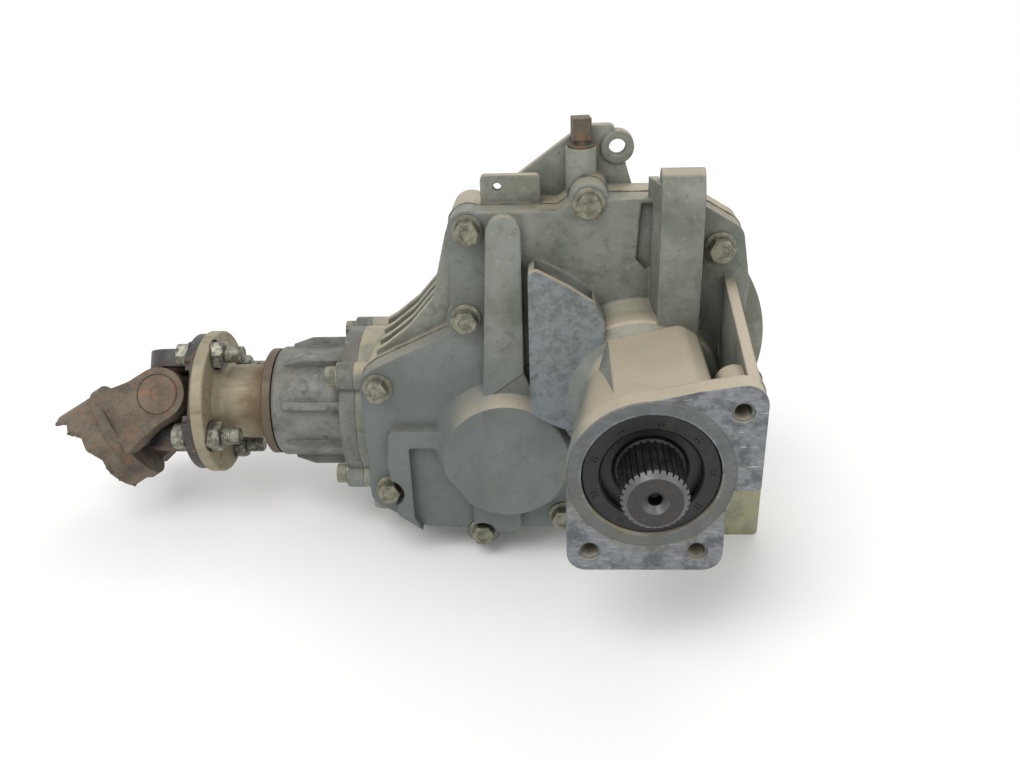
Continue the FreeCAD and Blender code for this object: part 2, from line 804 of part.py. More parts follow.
def make_front_cover():
    body = Casting("front_cover")
    back = gasket_front
    seat = d.seat_front
    counter = (-d.counter_across, -d.counter_drop)
    body.add(case_outline(), back, seat)
    body.add(circles((0, 0, d.drum_radius)), back, seat)
    body.add(bolt_holes(d.bolt_boss_radius), back, seat)
    # raised finger that widens into the panel round the counter shaft's boss
    panel = seat + 7
    body.add([(-82, 101, 8.5), (-87.5, -8, 5), (-109, -28.5, 3), (-144, -28.3, 3), (-146.5, -50, 6),
              (-143, -86, 6), (-127, 1 - d.case_low, 8), (-68, 1 - d.case_low, 4), (-68, -60), (-60, -40),
              (-60, 0), (-64, 10), (-64, 101, 8.5)], seat, panel)
    body.cone(*counter, d.counter_boss_radius + 7, d.counter_boss_radius - 2, seat, d.counter_boss_front)
    body.cut([(-133, -39, 2), (-117.5, -39, 3), (-112.5, -51, 4), (-101, -67.5, 4), (-96.5, -76, 3),
              (-96.5, -1 - d.case_low), (-127, -1 - d.case_low), (-133, -88, 4)],
             seat + 1, d.counter_boss_front + 1)
    # standing boss on top, rounded over at its upper end, with a sloping left flank
    body.add([(30, seat - 6), (30, seat + 18), (113, seat + 18, 9), (125.5, seat + 12, 5),
              (125.5, seat + 4, 3), (107, seat - 6)], 8.5, 30.5, "YZ_Plane")
    body.add([(3.5, seat - 6), (8.6, seat + 13), (8.6, seat - 6)], -118, -40, "XZ_Plane")
    # tube, its flat deck and the support flange
    flange_back = d.flange_front - d.flange_thick
    body.added.append(body.turn([
        (20, seat - 1), (d.tube_root_radius + 7, seat - 1), (d.tube_root_radius + 1.5, seat + 5, 4),
        (d.tube_root_radius, seat + 17, 3), (d.tube_waist_radius, seat + 26, 9),
        (d.tube_radius, flange_back + 1), (20, flange_back + 1)]))
    body.add([(-29, 8), (30, 8), (32, 36, 7), (21, 43.5, 8), (-17.5, 36.5, 2.5)], seat + 2, flange_back)
    body.add(circles((0, 0, d.flange_ring)), flange_back, d.flange_front)
    body.add([(-d.flange_left, -d.flange_low, 10), (d.flange_right, -d.flange_low, 10),
               (d.flange_right, -d.flange_step, 1), (d.flange_ear_right, -d.flange_step, 2),
               (d.flange_ear_right, d.flange_ear_top, 11), (20, d.flange_ear_top - 4.9),
               (-17, 37.4), (-d.flange_left, 0)], flange_back, d.flange_front)
    body.add([(3 - d.flange_left, 4 - d.flange_low, 9), (d.flange_right - 3, 4 - d.flange_low, 9),
               (d.flange_right - 3, 0), (3 - d.flange_left, 0)], flange_back - 16, flange_back)
    body.add(circles((0, 0, d.flange_ring - 0.5)), d.flange_front - 1, d.flange_front + 0.4)
    ear_hole = (d.flange_hole_ear_across, d.flange_hole_ear_up)
    body.add(circles((*ear_hole, 9)), flange_back - 22, flange_back)
    # left gusset in front of the cover's face, with a room behind it that is open at the top
    body.add([(-60.2, 74, 2), (-60.2, -9, 2), (-48, -15.5), (-38, -20), (-26, -6), (-19, 20),
              (-19.5, 46), (-25, 57.5, 9), (-38, 66.5, 14), (-56, 76.5, 3)], seat, seat + 21)
    body.cut([(-57, 82), (-57, 6, 3), (-47, 6, 2), (-42, 22), (-33, 34), (-26, 41), (-26, 82)],
             seat + 1, seat + 16.5)
    # right rib from the cover's face to the flange ear, with its floor
    rib_left = 45.0
    rib_right = rib_left + 5.5
    body.add([(rib_left, -12), (rib_right, -12), (rib_right, 45, 2), (rib_left, 45, 2)],
             seat - 1, flange_back + 1)
    body.add([(30, seat - 1), (30, flange_back + 1), (45, flange_back + 1), (65, seat - 1)],
             rib_left, rib_right, "YZ_Plane")
    body.add([(30, -12), (rib_left + 1, -12), (rib_left + 1, -5), (30, -5)], seat - 1, flange_back + 1)
    # inside: gear room, bearing seats, shaft room and seal seat
    body.cut(cavity_outline(), back, cover_floor)
    body.cut(circles((0, 0, d.drum_room)), back, cover_floor)
    body.cut(circles((*counter, driven_pitch + 7)), back, cover_floor)
    front_seat = cover_floor + d.input_bearing_thick + 1
    body.cut(circles((0, 0, d.input_bearing_radius + d.seat_gap)), cover_floor - 1, front_seat)
    body.cut(circles((0, 0, d.tube_room)), front_seat - 1, d.output_bearing_front - 4)
    body.cut(circles((0, 0, d.output_bearing_radius - 3)), d.output_bearing_front - 5,
           d.output_bearing_front + 1)
    body.cut(circles((0, 0, d.output_bearing_radius + d.seat_gap)), d.output_bearing_front, seal_back + 1)
    body.cut(circles((0, 0, d.output_seal_radius + d.seat_gap)), seal_back, d.flange_front + 2)
    circlip_back = d.output_bearing_front + d.output_bearing_thick
    body.cut(circles((0, 0, d.output_bearing_radius + 1.6)), circlip_back + 0.1, circlip_back + 1.9)
    body.cut(circles((*counter, d.counter_front_outer + d.seat_gap)), cover_floor - 1,
           cover_floor + d.counter_front_thick)
    # holes, with room round each bolt's washer
    body.cut(bolt_holes(d.bolt_radius + d.bolt_gap), back, seat + 1)
    body.cut(bolt_holes(d.bolt_washer_radius + 0.6), seat, seat + 22)
    for across, up in (cover_bolt_places[3], cover_bolt_places[7]):
        body.cut(circles((across, up, d.dowel_radius + d.seat_gap)), back, back + d.dowel_long / 2)
    tapped = [(-d.flange_hole_left, -d.flange_hole_low), (d.flange_hole_right, -d.flange_hole_low), ear_hole]
    for across, up in tapped:
        body.cut(circles((across, up, d.flange_hole_radius)), d.flange_front - 20, d.flange_front + 1)
        body.cut(circles((across, up, d.flange_hole_radius + 1.2)), d.flange_front - 1.2,
               d.flange_front + 1)
    body.cut([(-2.6, 74.5, 1), (3.2, 68, 1), (6, 72), (6, 105.5), (-0.5, 105.5, 1)], seat - 3, seat + 1)
    return body.finish(OUTPUT_AXIS)


def make_main_case():
    body = Casting("main_case")
    split = d.split_front
    counter = (-d.counter_across, -d.counter_drop)
    body.add(case_outline(), split - d.rim_deep, split)
    body.add(case_outline(d.rear_drop), split - 46, split - d.rim_deep)
    body.add(circles((0, 0, d.drum_radius)), d.mating_thick - 2, split)
    body.add(circles((0, 0, d.mating_radius)), 0.0, d.mating_thick)
    body.add(bolt_holes(d.bolt_boss_radius), split - 26, split)
    body.add(circles((*counter, d.ring_bulge)), 4.0, split - 6)
    body.add([(-102, 70, 25), (-134, -20, 20), (-134, -60, 20), (-110, -96, 16), (-40, -92, 10), (0, -60),
               (0, 60), (-50, 88, 25)], 3.0, split - 40)
    # funnel from the nose flange up to the shoulder, with ribs
    nose_back = d.nose_face_out - 18
    nose_centre = (-d.counter_drop, d.pinion_front)
    round_half = d.nose_flange_radius - 1
    funnel = [(nose_back + 1, -d.counter_drop, d.pinion_front, round_half, round_half, round_half - 1),
              (d.shoulder_left + 4, -24.0, 35.0, 71.0, 29.0, 24.0)]
    sections = []
    for out, up, front, half_up, half_front, rounding in funnel:
        sketch = doc.addObject("Sketcher::SketchObject", "main_case_section")
        place_on(sketch, "YZ_Plane", 0.0, 0.0, -out)
        add_outline(sketch, [
            (up - half_up, front - half_front, rounding), (up + half_up, front - half_front, rounding),
            (up + half_up, front + half_front, rounding), (up - half_up, front + half_front, rounding)])
        sections.append(sketch)
    loft = doc.addObject("Part::Loft", "main_case_funnel")
    loft.Sections = sections
    loft.Solid = True
    loft.Ruled = True
    body.added.append(loft)
    body.add(circles((*nose_centre, d.nose_flange_radius)), -d.nose_face_out, -nose_back, "YZ_Plane")
    for across, up in nose_bolt_places():
        body.add(circles((nose_centre[0] + across, nose_centre[1] + up, d.nose_ear_radius)),
            -d.nose_face_out, -nose_back, "YZ_Plane")
    for front in (14.0, 30.0, 46.0, 60.0):
        body.add([(-nose_back - 2, 0), (-nose_back - 2, 12, 2), (4 - nose_back, 15.5, 3),
                  (18.5 - nose_back, 27, 15), (34 - nose_back, 45, 10), (-d.shoulder_left - 9, 62, 12),
                  (-d.shoulder_left - 3, 86, 4), (4 - d.shoulder_left, 89), (4 - d.shoulder_left, -20)],
                 front, front + 5.0)
    # foot, lug, lifting web with its eye, plug boss and tab
    body.add([(30, -40), (70, -50), (80.5, -75, 2), (80.5, -118, 3), (50, -118, 5), (34, -76, 8)],
        split - 44, split - 2)
    body.add([(-150, -60), (-162.5, -68), (-162.5, -98, 3), (-137, -99, 4), (-128, -84)], split - 40, split - 3)
    web_back = 49.0
    body.add([(-67.5, 86), (-67.5, 112), (-36.2, 135, 3), (-26, 139.5, 4), (-14, 139.5, 3), (-8, 122, 5),
              (-5, 112, 5), (0, 96), (0, 86)], web_back, web_back + 5.5)
    body.add(circles((-d.eye_across, d.eye_up, d.eye_radius)), web_back - 1, web_back + 6.5)
    body.cut(circles((-d.eye_across, d.eye_up, d.eye_hole_radius)), web_back - 2, web_back + 8)
    body.add(circles((-d.plug_across, d.plug_front, d.plug_boss_radius)), -d.plug_boss_top, -96.0, "XZ_Plane")
    body.add([(-86, 96), (-53.5, 96), (-53.5, d.tab_top, 2.6), (-86, d.tab_top, 2.6)], split - 7, split - 2)
    body.cut(circles((-76.8, d.tab_top - 6.3, 2.3)), split - 8, split - 1)
    # drain boss
    body.add(circles((counter[0], d.drain_front, 11)), d.drain_boss_low - 12, d.drain_boss_low, "XZ_Plane")
    # pilot and nose barrel
    body.add(circles((0, 0, d.pilot_radius)), -d.pilot_long, 1.0)
    body.add(circles((*nose_centre, d.nose_flange_radius - 0.5)), -d.nose_face_out, 5 - d.spigot_out, "YZ_Plane")
    # gear rooms
    body.cut(cavity_outline(), split - d.rim_deep - 2, split + 1)
    body.cut(cavity_outline(d.rear_drop), 32.0, split - d.rim_deep - 1)
    body.cut(circles((0, 0, d.drum_room)), d.mating_thick + 5, split + 1)
    body.cut(circles((*counter, d.ring_room)), 29.0, split + 1)
    # bearing and seal seats on the output axis
    back_seat = d.input_bearing_back
    body.cut(circles((0, 0, d.input_bearing_radius + d.seat_gap)), back_seat, d.mating_thick + 6)
    body.cut(circles((0, 0, d.input_journal_radius + 5)), -1.0, back_seat + 1)
    body.cut(circles((0, 0, d.input_seal_radius + d.seat_gap)), -d.pilot_long - 1,
             d.input_seal_thick - d.pilot_long + 1)
    body.cut(circles((0, 0, d.input_journal_radius + 5)), -d.pilot_long, 0.0)
    groove = body.turn(ring_profile(d.pilot_radius - d.ring_groove_deep, d.pilot_radius + 2,
                                    -d.pilot_ring_front, d.pilot_ring_thick - d.pilot_ring_front))
    body.removed.append(groove)
    # counter shaft's back bearing and the pinion's barrel
    body.cut(circles((*counter, d.counter_back_outer + d.seat_gap)), d.counter_back_front, 30.0)
    body.cut(circles((*nose_centre, d.spigot_radius + d.seat_gap)), -d.nose_face_out - 1, 0.5 - d.spigot_out,
             "YZ_Plane")
    body.cut(circles((*nose_centre, pinion_pitch + 6)), -d.spigot_out, -d.counter_across - 20, "YZ_Plane")
    # tapped holes
    tapped_end = d.seat_front - d.bolt_length - d.tap_room
    body.cut(bolt_holes(d.bolt_radius + d.tap_gap), tapped_end, split + 1)
    for across, up in (cover_bolt_places[3], cover_bolt_places[7]):
        body.cut(circles((across, up, d.dowel_radius + d.seat_gap)), split - d.dowel_long / 2, split + 1)
    for across, up in nose_bolt_places():
        body.cut(circles((nose_centre[0] + across, nose_centre[1] + up, d.bolt_radius + d.tap_gap)),
                 -d.nose_face_out - 1, d.housing_bolt_length + d.tap_room - d.nose_face_out - d.nose_flange_thick,
                 "YZ_Plane")
    body.cut(ring_of_circles(5, d.mating_bolt_circle / 2, d.mating_bolt_radius, 30.0), -1.0, d.mating_bolt_deep)
    body.cut(circles((-d.plug_across, d.plug_front, d.plug_thread_radius + d.tap_gap)),
             -d.plug_boss_top - 1, 18 - d.plug_boss_top, "XZ_Plane")
    body.cut(circles((counter[0], d.drain_front, d.drain_thread_radius + d.tap_gap)),
             d.drain_boss_low - 12, d.drain_boss_low + 1, "XZ_Plane")
    return body.finish(OUTPUT_AXIS)


def make_cover_gasket():
    body = Casting("cover_gasket")
    body.add(case_outline(), d.split_front, gasket_front)
    body.add(circles((0, 0, d.drum_radius)), d.split_front, gasket_front)
    body.add(bolt_holes(d.bolt_boss_radius), d.split_front, gasket_front)
    body.cut(cavity_outline(), d.split_front - 1, gasket_front + 1)
    body.cut(circles((0, 0, d.drum_room)), d.split_front - 1, gasket_front + 1)
    body.cut(circles((-d.counter_across, -d.counter_drop, driven_pitch + 7)), d.split_front - 1,
             gasket_front + 1)
    body.cut(bolt_holes(d.bolt_radius + d.bolt_gap), d.split_front - 1, gasket_front + 1)
    for across, up in (cover_bolt_places[3], cover_bolt_places[7]):
        body.cut(circles((across, up, d.dowel_radius + d.bolt_gap)), d.split_front - 1, gasket_front + 1)
    return body.finish(OUTPUT_AXIS)


def make_pinion_housing():
    turn = 22.5
    body = new_body("pinion_housing", PINION_AXIS * turned_about(V(0, 0, 1), turn))
    flange_end = d.nose_face_out + d.nose_flange_thick
    seal_seat = d.nose_end_out - d.pinion_seal_thick
    bore = d.head_outer - 5
    stop = d.tail_outer - 4
    groove = d.spigot_radius - d.ring_groove_deep
    groove_end = oring_out + d.pilot_ring_thick
    revolve(body, [
        (d.spigot_radius, d.spigot_out), (d.spigot_radius, oring_out), (groove, oring_out), (groove, groove_end),
        (d.spigot_radius, groove_end), (d.spigot_radius, d.nose_face_out),
        (d.nose_flange_radius, d.nose_face_out), (d.nose_flange_radius, flange_end),
        (d.nose_radius + 2, flange_end), (d.nose_radius, flange_end + 12),
        (d.nose_radius, d.nose_end_out - 2), (d.nose_radius - 1.5, d.nose_end_out),
        (d.pinion_seal_radius + d.seat_gap, d.nose_end_out), (d.pinion_seal_radius + d.seat_gap, seal_seat),
        (d.tail_outer + d.seat_gap, seal_seat), (d.tail_outer + d.seat_gap, d.tail_out),
        (stop, d.tail_out), (stop, d.tail_out - 4), (bore, d.tail_out - 8), (bore, shim_end),
        (d.head_outer + d.seat_gap, shim_end), (d.head_outer + d.seat_gap, d.spigot_out)])
    doc.recompute()
    rib_top = d.nose_radius + d.nose_rib_high
    rib_foot = d.nose_radius - 2
    rib = pad(body, [(rib_foot, flange_end - 1), (rib_top, flange_end - 1), (rib_top, d.nose_end_out - 20),
                     (d.nose_radius + 2, d.nose_end_out - 8), (rib_foot, d.nose_end_out - 6)],
              -d.nose_rib_thick / 2, d.nose_rib_thick / 2, "XZ_Plane")
    pattern(body, rib, d.nose_rib_count)
    bolt_ring = d.nose_bolt_circle / 2
    pad(body, ring_of_circles(4, bolt_ring, d.nose_ear_radius, turn), d.nose_face_out, flange_end)
    pocket(body, ring_of_circles(4, bolt_ring, d.bolt_radius + d.bolt_gap, turn), d.nose_face_out, flange_end)
    return keep("pinion_housing", body)


# Turned parts of the output and input shafts


def spline_cuts(body, radius, deep, teeth, start, end):
    """Tooth spaces of an external spline, repeated round the shaft."""
    half = math.pi * float(radius) / float(teeth) / 2
    cutter = pocket(body, [(radius - deep, -0.35 * half), (radius + 1.5, -1.35 * half),
                           (radius + 1.5, 1.35 * half), (radius - deep, 0.35 * half)], start, end)
    return pattern(body, cutter, teeth)


def make_output_shaft():
    body = new_body("output_shaft", OUTPUT_AXIS)
    bearing = d.output_bearing_front
    body_radius = d.output_body_radius
    tip = d.output_spline_radius - d.output_chamfer
    inner_end = d.output_inner_back + 16
    revolve(body, [
        (0, d.output_inner_back), (d.output_inner_radius - 1, d.output_inner_back),
        (d.output_inner_radius, d.output_inner_back + 1), (d.output_inner_radius, inner_end),
        (body_radius, inner_end + 1), (body_radius, bearing - 7),
        (d.output_journal_radius + 3, bearing - 5), (d.output_journal_radius + 3, bearing),
        (d.output_journal_radius, bearing), (d.output_journal_radius, d.output_spline_back - 1),
        (d.output_spline_radius, d.output_spline_back),
        (d.output_spline_radius, d.shaft_front - d.output_chamfer), (tip, d.shaft_front), (0, d.shaft_front)])
    revolve(body, [(0, d.shaft_front - 12), (3.4, d.shaft_front - 10), (3.4, d.shaft_front - 3),
                   (6.4, d.shaft_front), (6.4, d.shaft_front + 1), (0, d.shaft_front + 1)], "Groove")
    doc.recompute()
    spline_cuts(body, d.output_spline_radius, 1.3, d.output_spline_teeth, d.output_spline_back - 0.5,
                d.shaft_front + 1)
    spline_cuts(body, d.output_inner_radius, 1.1, d.inner_spline_teeth, d.output_inner_back - 1,
                inner_end - 1)
    return keep("output_shaft", body)


def make_input_shaft():
    body = new_body("input_shaft", OUTPUT_AXIS)
    journal = d.input_journal_radius
    gear_back = d.gear_front - d.gear_thick / 2 - 0.5
    bush_back = d.input_front - 16
    seal_front = d.input_back + 9
    revolve(body, [
        (d.input_bore + 3, d.input_back), (d.input_spline_radius - 1, d.input_back),
        (d.input_spline_radius, d.input_back + 1), (d.input_spline_radius, d.input_back + 26),
        (journal, d.input_back + 28), (journal, d.input_bearing_back + d.input_bearing_thick),
        (journal + 3, d.input_bearing_back + d.input_bearing_thick), (journal + 3, gear_back - 8),
        (d.gear_seat_radius + 4, gear_back - 7), (d.gear_seat_radius + 4, gear_back),
        (d.gear_seat_radius, gear_back), (d.gear_seat_radius, cover_floor + 0.8), (journal, cover_floor + 0.8),
        (journal, d.input_front - 1), (journal - 1, d.input_front), (d.input_bore + 1.5, d.input_front),
        (d.input_bore + 1.5, bush_back), (d.input_bore, bush_back), (d.input_bore, seal_front),
        (d.input_bore + 3, seal_front)])
    spline_cuts(body, d.input_spline_radius, 1.2, d.input_spline_teeth, d.input_back - 1, d.input_back + 24)
    return keep("input_shaft", body)


def make_output_seal():
    front = seal_back + d.output_seal_thick
    lip = d.output_journal_radius + d.running_gap
    return turned("output_seal", OUTPUT_AXIS, [
        (d.output_seal_radius, seal_back), (d.output_seal_radius, front - 0.8),
        (d.output_seal_radius - 0.8, front), (25.6, front), (24.6, front - 1), (24.6, front - 5.4),
        (lip + 1.6, front - 5.4), (lip, front - 6.2), (lip, front - 7.2), (lip + 2, front - 8.4),
        (24.6, front - 8.4), (24.6, seal_back)])


def make_output_circlip():
    body = new_body("output_circlip", OUTPUT_AXIS)
    back = d.output_bearing_front + d.output_bearing_thick + 0.2
    revolve(body, ring_profile(d.output_bearing_radius - 3, d.output_bearing_radius + 1.5, back, back + 1.6))
    pocket(body, [(20, -5), (40, -5), (40, 5), (20, 5)], back - 1, back + 3)
    return keep("output_circlip", body)


def make_small_rings():
    turned("pilot_oring", OUTPUT_AXIS, ring_profile(
        d.pilot_radius - d.ring_groove_deep, d.pilot_radius - 0.05, 0.1 - d.pilot_ring_front,
        d.pilot_ring_thick - d.pilot_ring_front - 0.1))
    turned("housing_oring", PINION_AXIS, ring_profile(
        d.spigot_radius - d.ring_groove_deep, d.spigot_radius, oring_out + 0.1,
        oring_out + d.pilot_ring_thick - 0.1))
    journal = d.input_journal_radius + d.running_gap
    turned("input_seal", OUTPUT_AXIS, [
        (d.input_seal_radius, -d.pilot_long + 0.3), (d.input_seal_radius, d.input_seal_thick - d.pilot_long + 0.3),
        (journal, d.input_seal_thick - d.pilot_long + 0.3), (journal, d.input_seal_thick - d.pilot_long - 1.5),
        (journal + 5, d.input_seal_thick - d.pilot_long - 2.5), (journal + 5, -d.pilot_long + 0.3)])
    bush_back = d.input_front - 16
    bore = d.output_body_radius + d.running_gap
    turned("shaft_bush", OUTPUT_AXIS, ring_profile(bore, d.input_bore + 1.48, bush_back, d.input_front - 1))
    turned("shaft_seal", OUTPUT_AXIS, ring_profile(bore, d.input_bore + 2.98, d.input_back + 1, d.input_back + 9))
    seal_seat = d.nose_end_out - d.pinion_seal_thick
    hub = d.hub_journal_radius + d.running_gap
    turned("pinion_seal", PINION_AXIS, [
        (d.pinion_seal_radius, seal_seat), (d.pinion_seal_radius, d.nose_end_out - 0.5),
        (hub + 3, d.nose_end_out - 0.5), (hub + 3, seal_seat + 4), (hub, seal_seat + 3.4), (hub, seal_seat + 2.4),
        (hub + 3, seal_seat + 1.5), (hub + 3, seal_seat)])
    turned("pinion_shim", PINION_AXIS, ring_profile(d.head_outer - 5, d.head_outer - 0.4, head_end, shim_end))


# Counter shaft, pinion and their gears


def make_counter_shaft():
    body = new_body("counter_shaft", COUNTER_AXIS)
    back = d.counter_back_front
    back_end = back + d.counter_back_thick
    seat = d.counter_seat_radius
    front_end = cover_floor + d.counter_front_thick
    revolve(body, [
        (0, back + 0.4), (d.counter_back_radius - 1, back + 0.4), (d.counter_back_radius, back + 1.4),
        (d.counter_back_radius, back_end), (d.counter_back_radius + 4, back_end),
        (d.counter_back_radius + 4, d.pinion_front + 12), (seat, d.pinion_front + 17), (seat, ring_back_front),
        (d.counter_flange_radius, ring_back_front), (d.counter_flange_radius, counter_flange_front),
        (seat - 1, counter_flange_front), (seat - 1, cover_floor), (d.counter_front_radius, cover_floor),
        (d.counter_front_radius, front_end - 1.4), (d.counter_front_radius - 1, front_end - 0.4),
        (0, front_end - 0.4)])
    count = int(d.ring_bolt_count)
    ring = d.ring_bolt_circle / 2
    pocket(body, ring_of_circles(count, ring, d.ring_bolt_radius + 0.2), ring_back_front, counter_flange_front)
    pocket(body, ring_of_circles(count, ring, d.ring_bolt_radius + 3.5), ring_bolt_seat, counter_flange_front)
    return keep("counter_shaft", body)


def make_ring_gear():
    tip = float(ring_tip_high)
    root = float(ring_root_deep)
    turn = math.pi + math.pi / float(d.ring_teeth)
    fan = bevel_fan(int(d.ring_teeth), ring_angle, cone_distance, tip, root, turn,
                    0.4 * pinion_pitch, float(d.ring_back) + 1, float(d.backlash))
    along = (math.sin(ring_angle), math.cos(ring_angle))

    def cone_point(share, high):
        return V(share * (ring_pitch + high * along[1]), 0, share * (pinion_pitch - high * along[0]))

    back = float(d.ring_back)
    bore = float(d.counter_seat_radius + d.seat_gap)
    corners = [V(bore, 0, back), V(bore, 0, 20), V(27, 0, 20), cone_point(inner_share, -root),
               cone_point(inner_share, tip), cone_point(1, tip), cone_point(1, -root),
               V(cone_point(1, -root).x, 0, back)]
    blank = Part.Face(Part.makePolygon(corners + corners[:1])).revolve(V(0, 0, 0), V(0, 0, 1), 360)
    tap = float(d.ring_bolt_radius + d.tap_gap)
    deep = 10.0
    holes = [Part.makeCylinder(tap, deep + 1, turn_frame.multVec(V(float(d.ring_bolt_circle) / 2, 0, back - deep)))
             for turn_frame in around(FreeCAD.Placement(), int(d.ring_bolt_count))]
    feature = doc.addObject("Part::Feature", "ring_gear")
    feature.Shape = blank.common(fan).cut(Part.makeCompound(holes))
    feature.Placement = COUNTER_AXIS * shifted(0, 0, d.pinion_front)
    return keep("ring_gear", feature)


def make_pinion_shaft():
    tip = float(pinion_tip_high)
    root = float(pinion_root_deep)
    fan = bevel_fan(int(d.pinion_teeth), pinion_angle, cone_distance, tip, root, -math.pi / 2,
                    0.6 * ring_pitch, ring_pitch + 12, float(d.backlash))
    along = (math.sin(pinion_angle), math.cos(pinion_angle))

    def cone_point(share, high):
        return V(share * (pinion_pitch + high * along[1]), 0, share * (ring_pitch - high * along[0]))

    shoulder = float(head_out - apex_out)
    outer_root = cone_point(1, -root)
    inner_root = cone_point(inner_share, -root)
    corners = [V(0, 0, inner_root.z), inner_root, cone_point(inner_share, tip), cone_point(1, tip), outer_root,
               V(outer_root.x, 0, shoulder), V(0, 0, shoulder)]
    blank = Part.Face(Part.makePolygon(corners + corners[:1])).revolve(V(0, 0, 0), V(0, 0, 1), 360)
    teeth = doc.addObject("Part::Feature", "pinion_teeth")
    teeth.Shape = blank.common(fan)
    teeth.Placement = shifted(0, 0, apex_out)
    stem = Casting("pinion_stem")
    stem_end = companion_face - 4
    solid = stem.turn([
        (0, head_out - 2), (d.head_bore + 2, head_out - 2), (d.head_bore + 2, head_out), (d.head_bore, head_out),
        (d.head_bore, head_end - 2), (d.tail_bore + 1, head_end), (d.tail_bore + 1, d.tail_out - 2),
        (d.tail_bore, d.tail_out - 1), (d.tail_bore, tail_end), (d.pinion_spline_radius, tail_end),
        (d.pinion_spline_radius, nut_seat - 1), (d.pinion_thread_radius, nut_seat - 0.5),
        (d.pinion_thread_radius, stem_end - 1), (d.pinion_thread_radius - 1, stem_end), (0, stem_end)])
    joined = doc.addObject("Part::Fuse", "pinion_shaft")
    joined.Base = teeth
    joined.Tool = solid
    joined.Placement = PINION_AXIS
    return keep("pinion_shaft", joined)


def make_companion_parts():
    out = tail_end + 0.3
    spacer_start = head_end + 0.2
    spacer_end = d.tail_out - 0.2
    inner = d.tail_bore + 1.4
    middle = (spacer_start + spacer_end) / 2
    turned("collapsible_spacer", PINION_AXIS, [
        (inner, spacer_start), (inner + 2.2, spacer_start), (inner + 2.2, middle - 7), (inner + 4.6, middle - 1),
        (inner + 4.6, middle + 1), (inner + 2.2, middle + 7), (inner + 2.2, spacer_end), (inner, spacer_end),
        (inner, middle + 6), (inner + 2.4, middle + 1), (inner + 2.4, middle - 1), (inner, middle - 6)])
    body = new_body("companion_flange", PINION_AXIS)
    bore = d.pinion_spline_radius + d.seat_gap
    deflector = d.nose_end_out + 2
    revolve(body, [
        (bore, out), (d.hub_journal_radius - 1, out), (d.hub_journal_radius, out + 1),
        (d.hub_journal_radius, deflector), (d.hub_radius, deflector), (d.hub_radius, d.companion_out - 5, 5),
        (d.hub_radius + 6, d.companion_out, 1), (d.companion_radius, d.companion_out, 1.5),
        (d.companion_radius, companion_face, 1), (d.companion_recess, companion_face),
        (d.companion_recess, nut_seat), (bore, nut_seat)])
    turn = d.joint_turn + 45
    pocket(body, ring_of_circles(4, d.yoke_bolt_circle / 2, d.yoke_bolt_radius + 0.2, turn), d.companion_out - 3,
           companion_face + 1)
    pocket(body, ring_of_circles(4, d.yoke_bolt_circle / 2, 9.6, turn), d.companion_out - 6,
           d.companion_out + 1)
    keep("companion_flange", body)
    turned("dust_deflector", PINION_AXIS, [
        (d.hub_radius + d.seat_gap, deflector), (31, deflector), (31, deflector - 1.2),
        (d.deflector_radius, deflector - 1.2), (d.deflector_radius, deflector + 4),
        (d.deflector_radius - 1.2, deflector + 5), (d.hub_radius + d.seat_gap, deflector + 5)])
    nut = hex_nut("pinion_nut", d.nut_across, d.pinion_thread_radius + d.tap_gap, d.nut_high)
    nut.Placement = PINION_AXIS * shifted(0, 0, nut_seat)
    keep("pinion_nut", nut)


# Universal joint


def make_flange_yoke():
    body = Casting("flange_yoke")
    back = companion_face - d.cross_out
    front = yoke_face - d.cross_out
    ear = d.ear_radius
    inner = d.cap_outer - 0.5 - d.ear_thick
    body.add(circles((0, 0, d.yoke_plate_radius)), back, front)
    ear_outline = [(-ear, front - 1), (ear, front - 1), (ear, ear, ear - 0.1), (-ear, ear, ear - 0.1)]
    body.add(ear_outline, inner, inner + d.ear_thick, "YZ_Plane")
    body.add(ear_outline, -(inner + d.ear_thick), -inner, "YZ_Plane")
    body.cut(circles((0, 0, d.companion_recess + 3)), back - 1, front + 1)
    # windows for the other yoke's ears, and a thin low rim outside them
    window = ear - 2.7
    rim = d.cap_outer + 4.5
    rim_end = rim + 4
    past = rim + 13
    for side in (-1, 1):
        body.cut([(-window, side * 10), (window, side * 10), (window, side * rim), (-window, side * rim)][::side],
                 back - 1, front + 1)
        body.cut([(-18, side * (rim - 0.5)), (18, side * (rim - 0.5)), (24, side * (rim + 9)),
                  (-24, side * (rim + 9))][::side], back + 2.5, front + 1)
        body.cut([(-30, side * rim_end), (30, side * rim_end), (30, side * past), (-30, side * past)][::side],
                 back - 1, front + 1)
    body.cut(circles((0, 0, d.cap_radius + d.seat_gap)), -d.cap_outer - 2, d.cap_outer + 2, "YZ_Plane")
    body.cut(ring_of_circles(4, d.yoke_bolt_circle / 2, d.yoke_bolt_radius + 0.2, 45.0), back - 1, front + 1)
    return body.finish(JOINT_FRAME)


def make_caps(label, frame, sideways):
    """Two bearing caps, one in each ear of a yoke."""
    cap = new_body(label + "_piece", FreeCAD.Placement())
    bore = d.trunnion_radius + d.running_gap
    floor = d.cap_outer - d.cap_floor
    revolve(cap, [(bore, d.cap_inner), (d.cap_radius - 1, d.cap_inner), (d.cap_radius, d.cap_inner + 1),
                  (d.cap_radius, d.cap_outer - 1), (d.cap_radius - 1, d.cap_outer), (5, d.cap_outer),
                  (4.6, d.cap_outer - 0.5), (0, d.cap_outer - 0.5), (0, floor - 0.4), (bore, floor - 0.4)])
    group(label, copies(cap, [frame * sideways, frame * turned_about(V(0, 0, 1), 180) * sideways]))


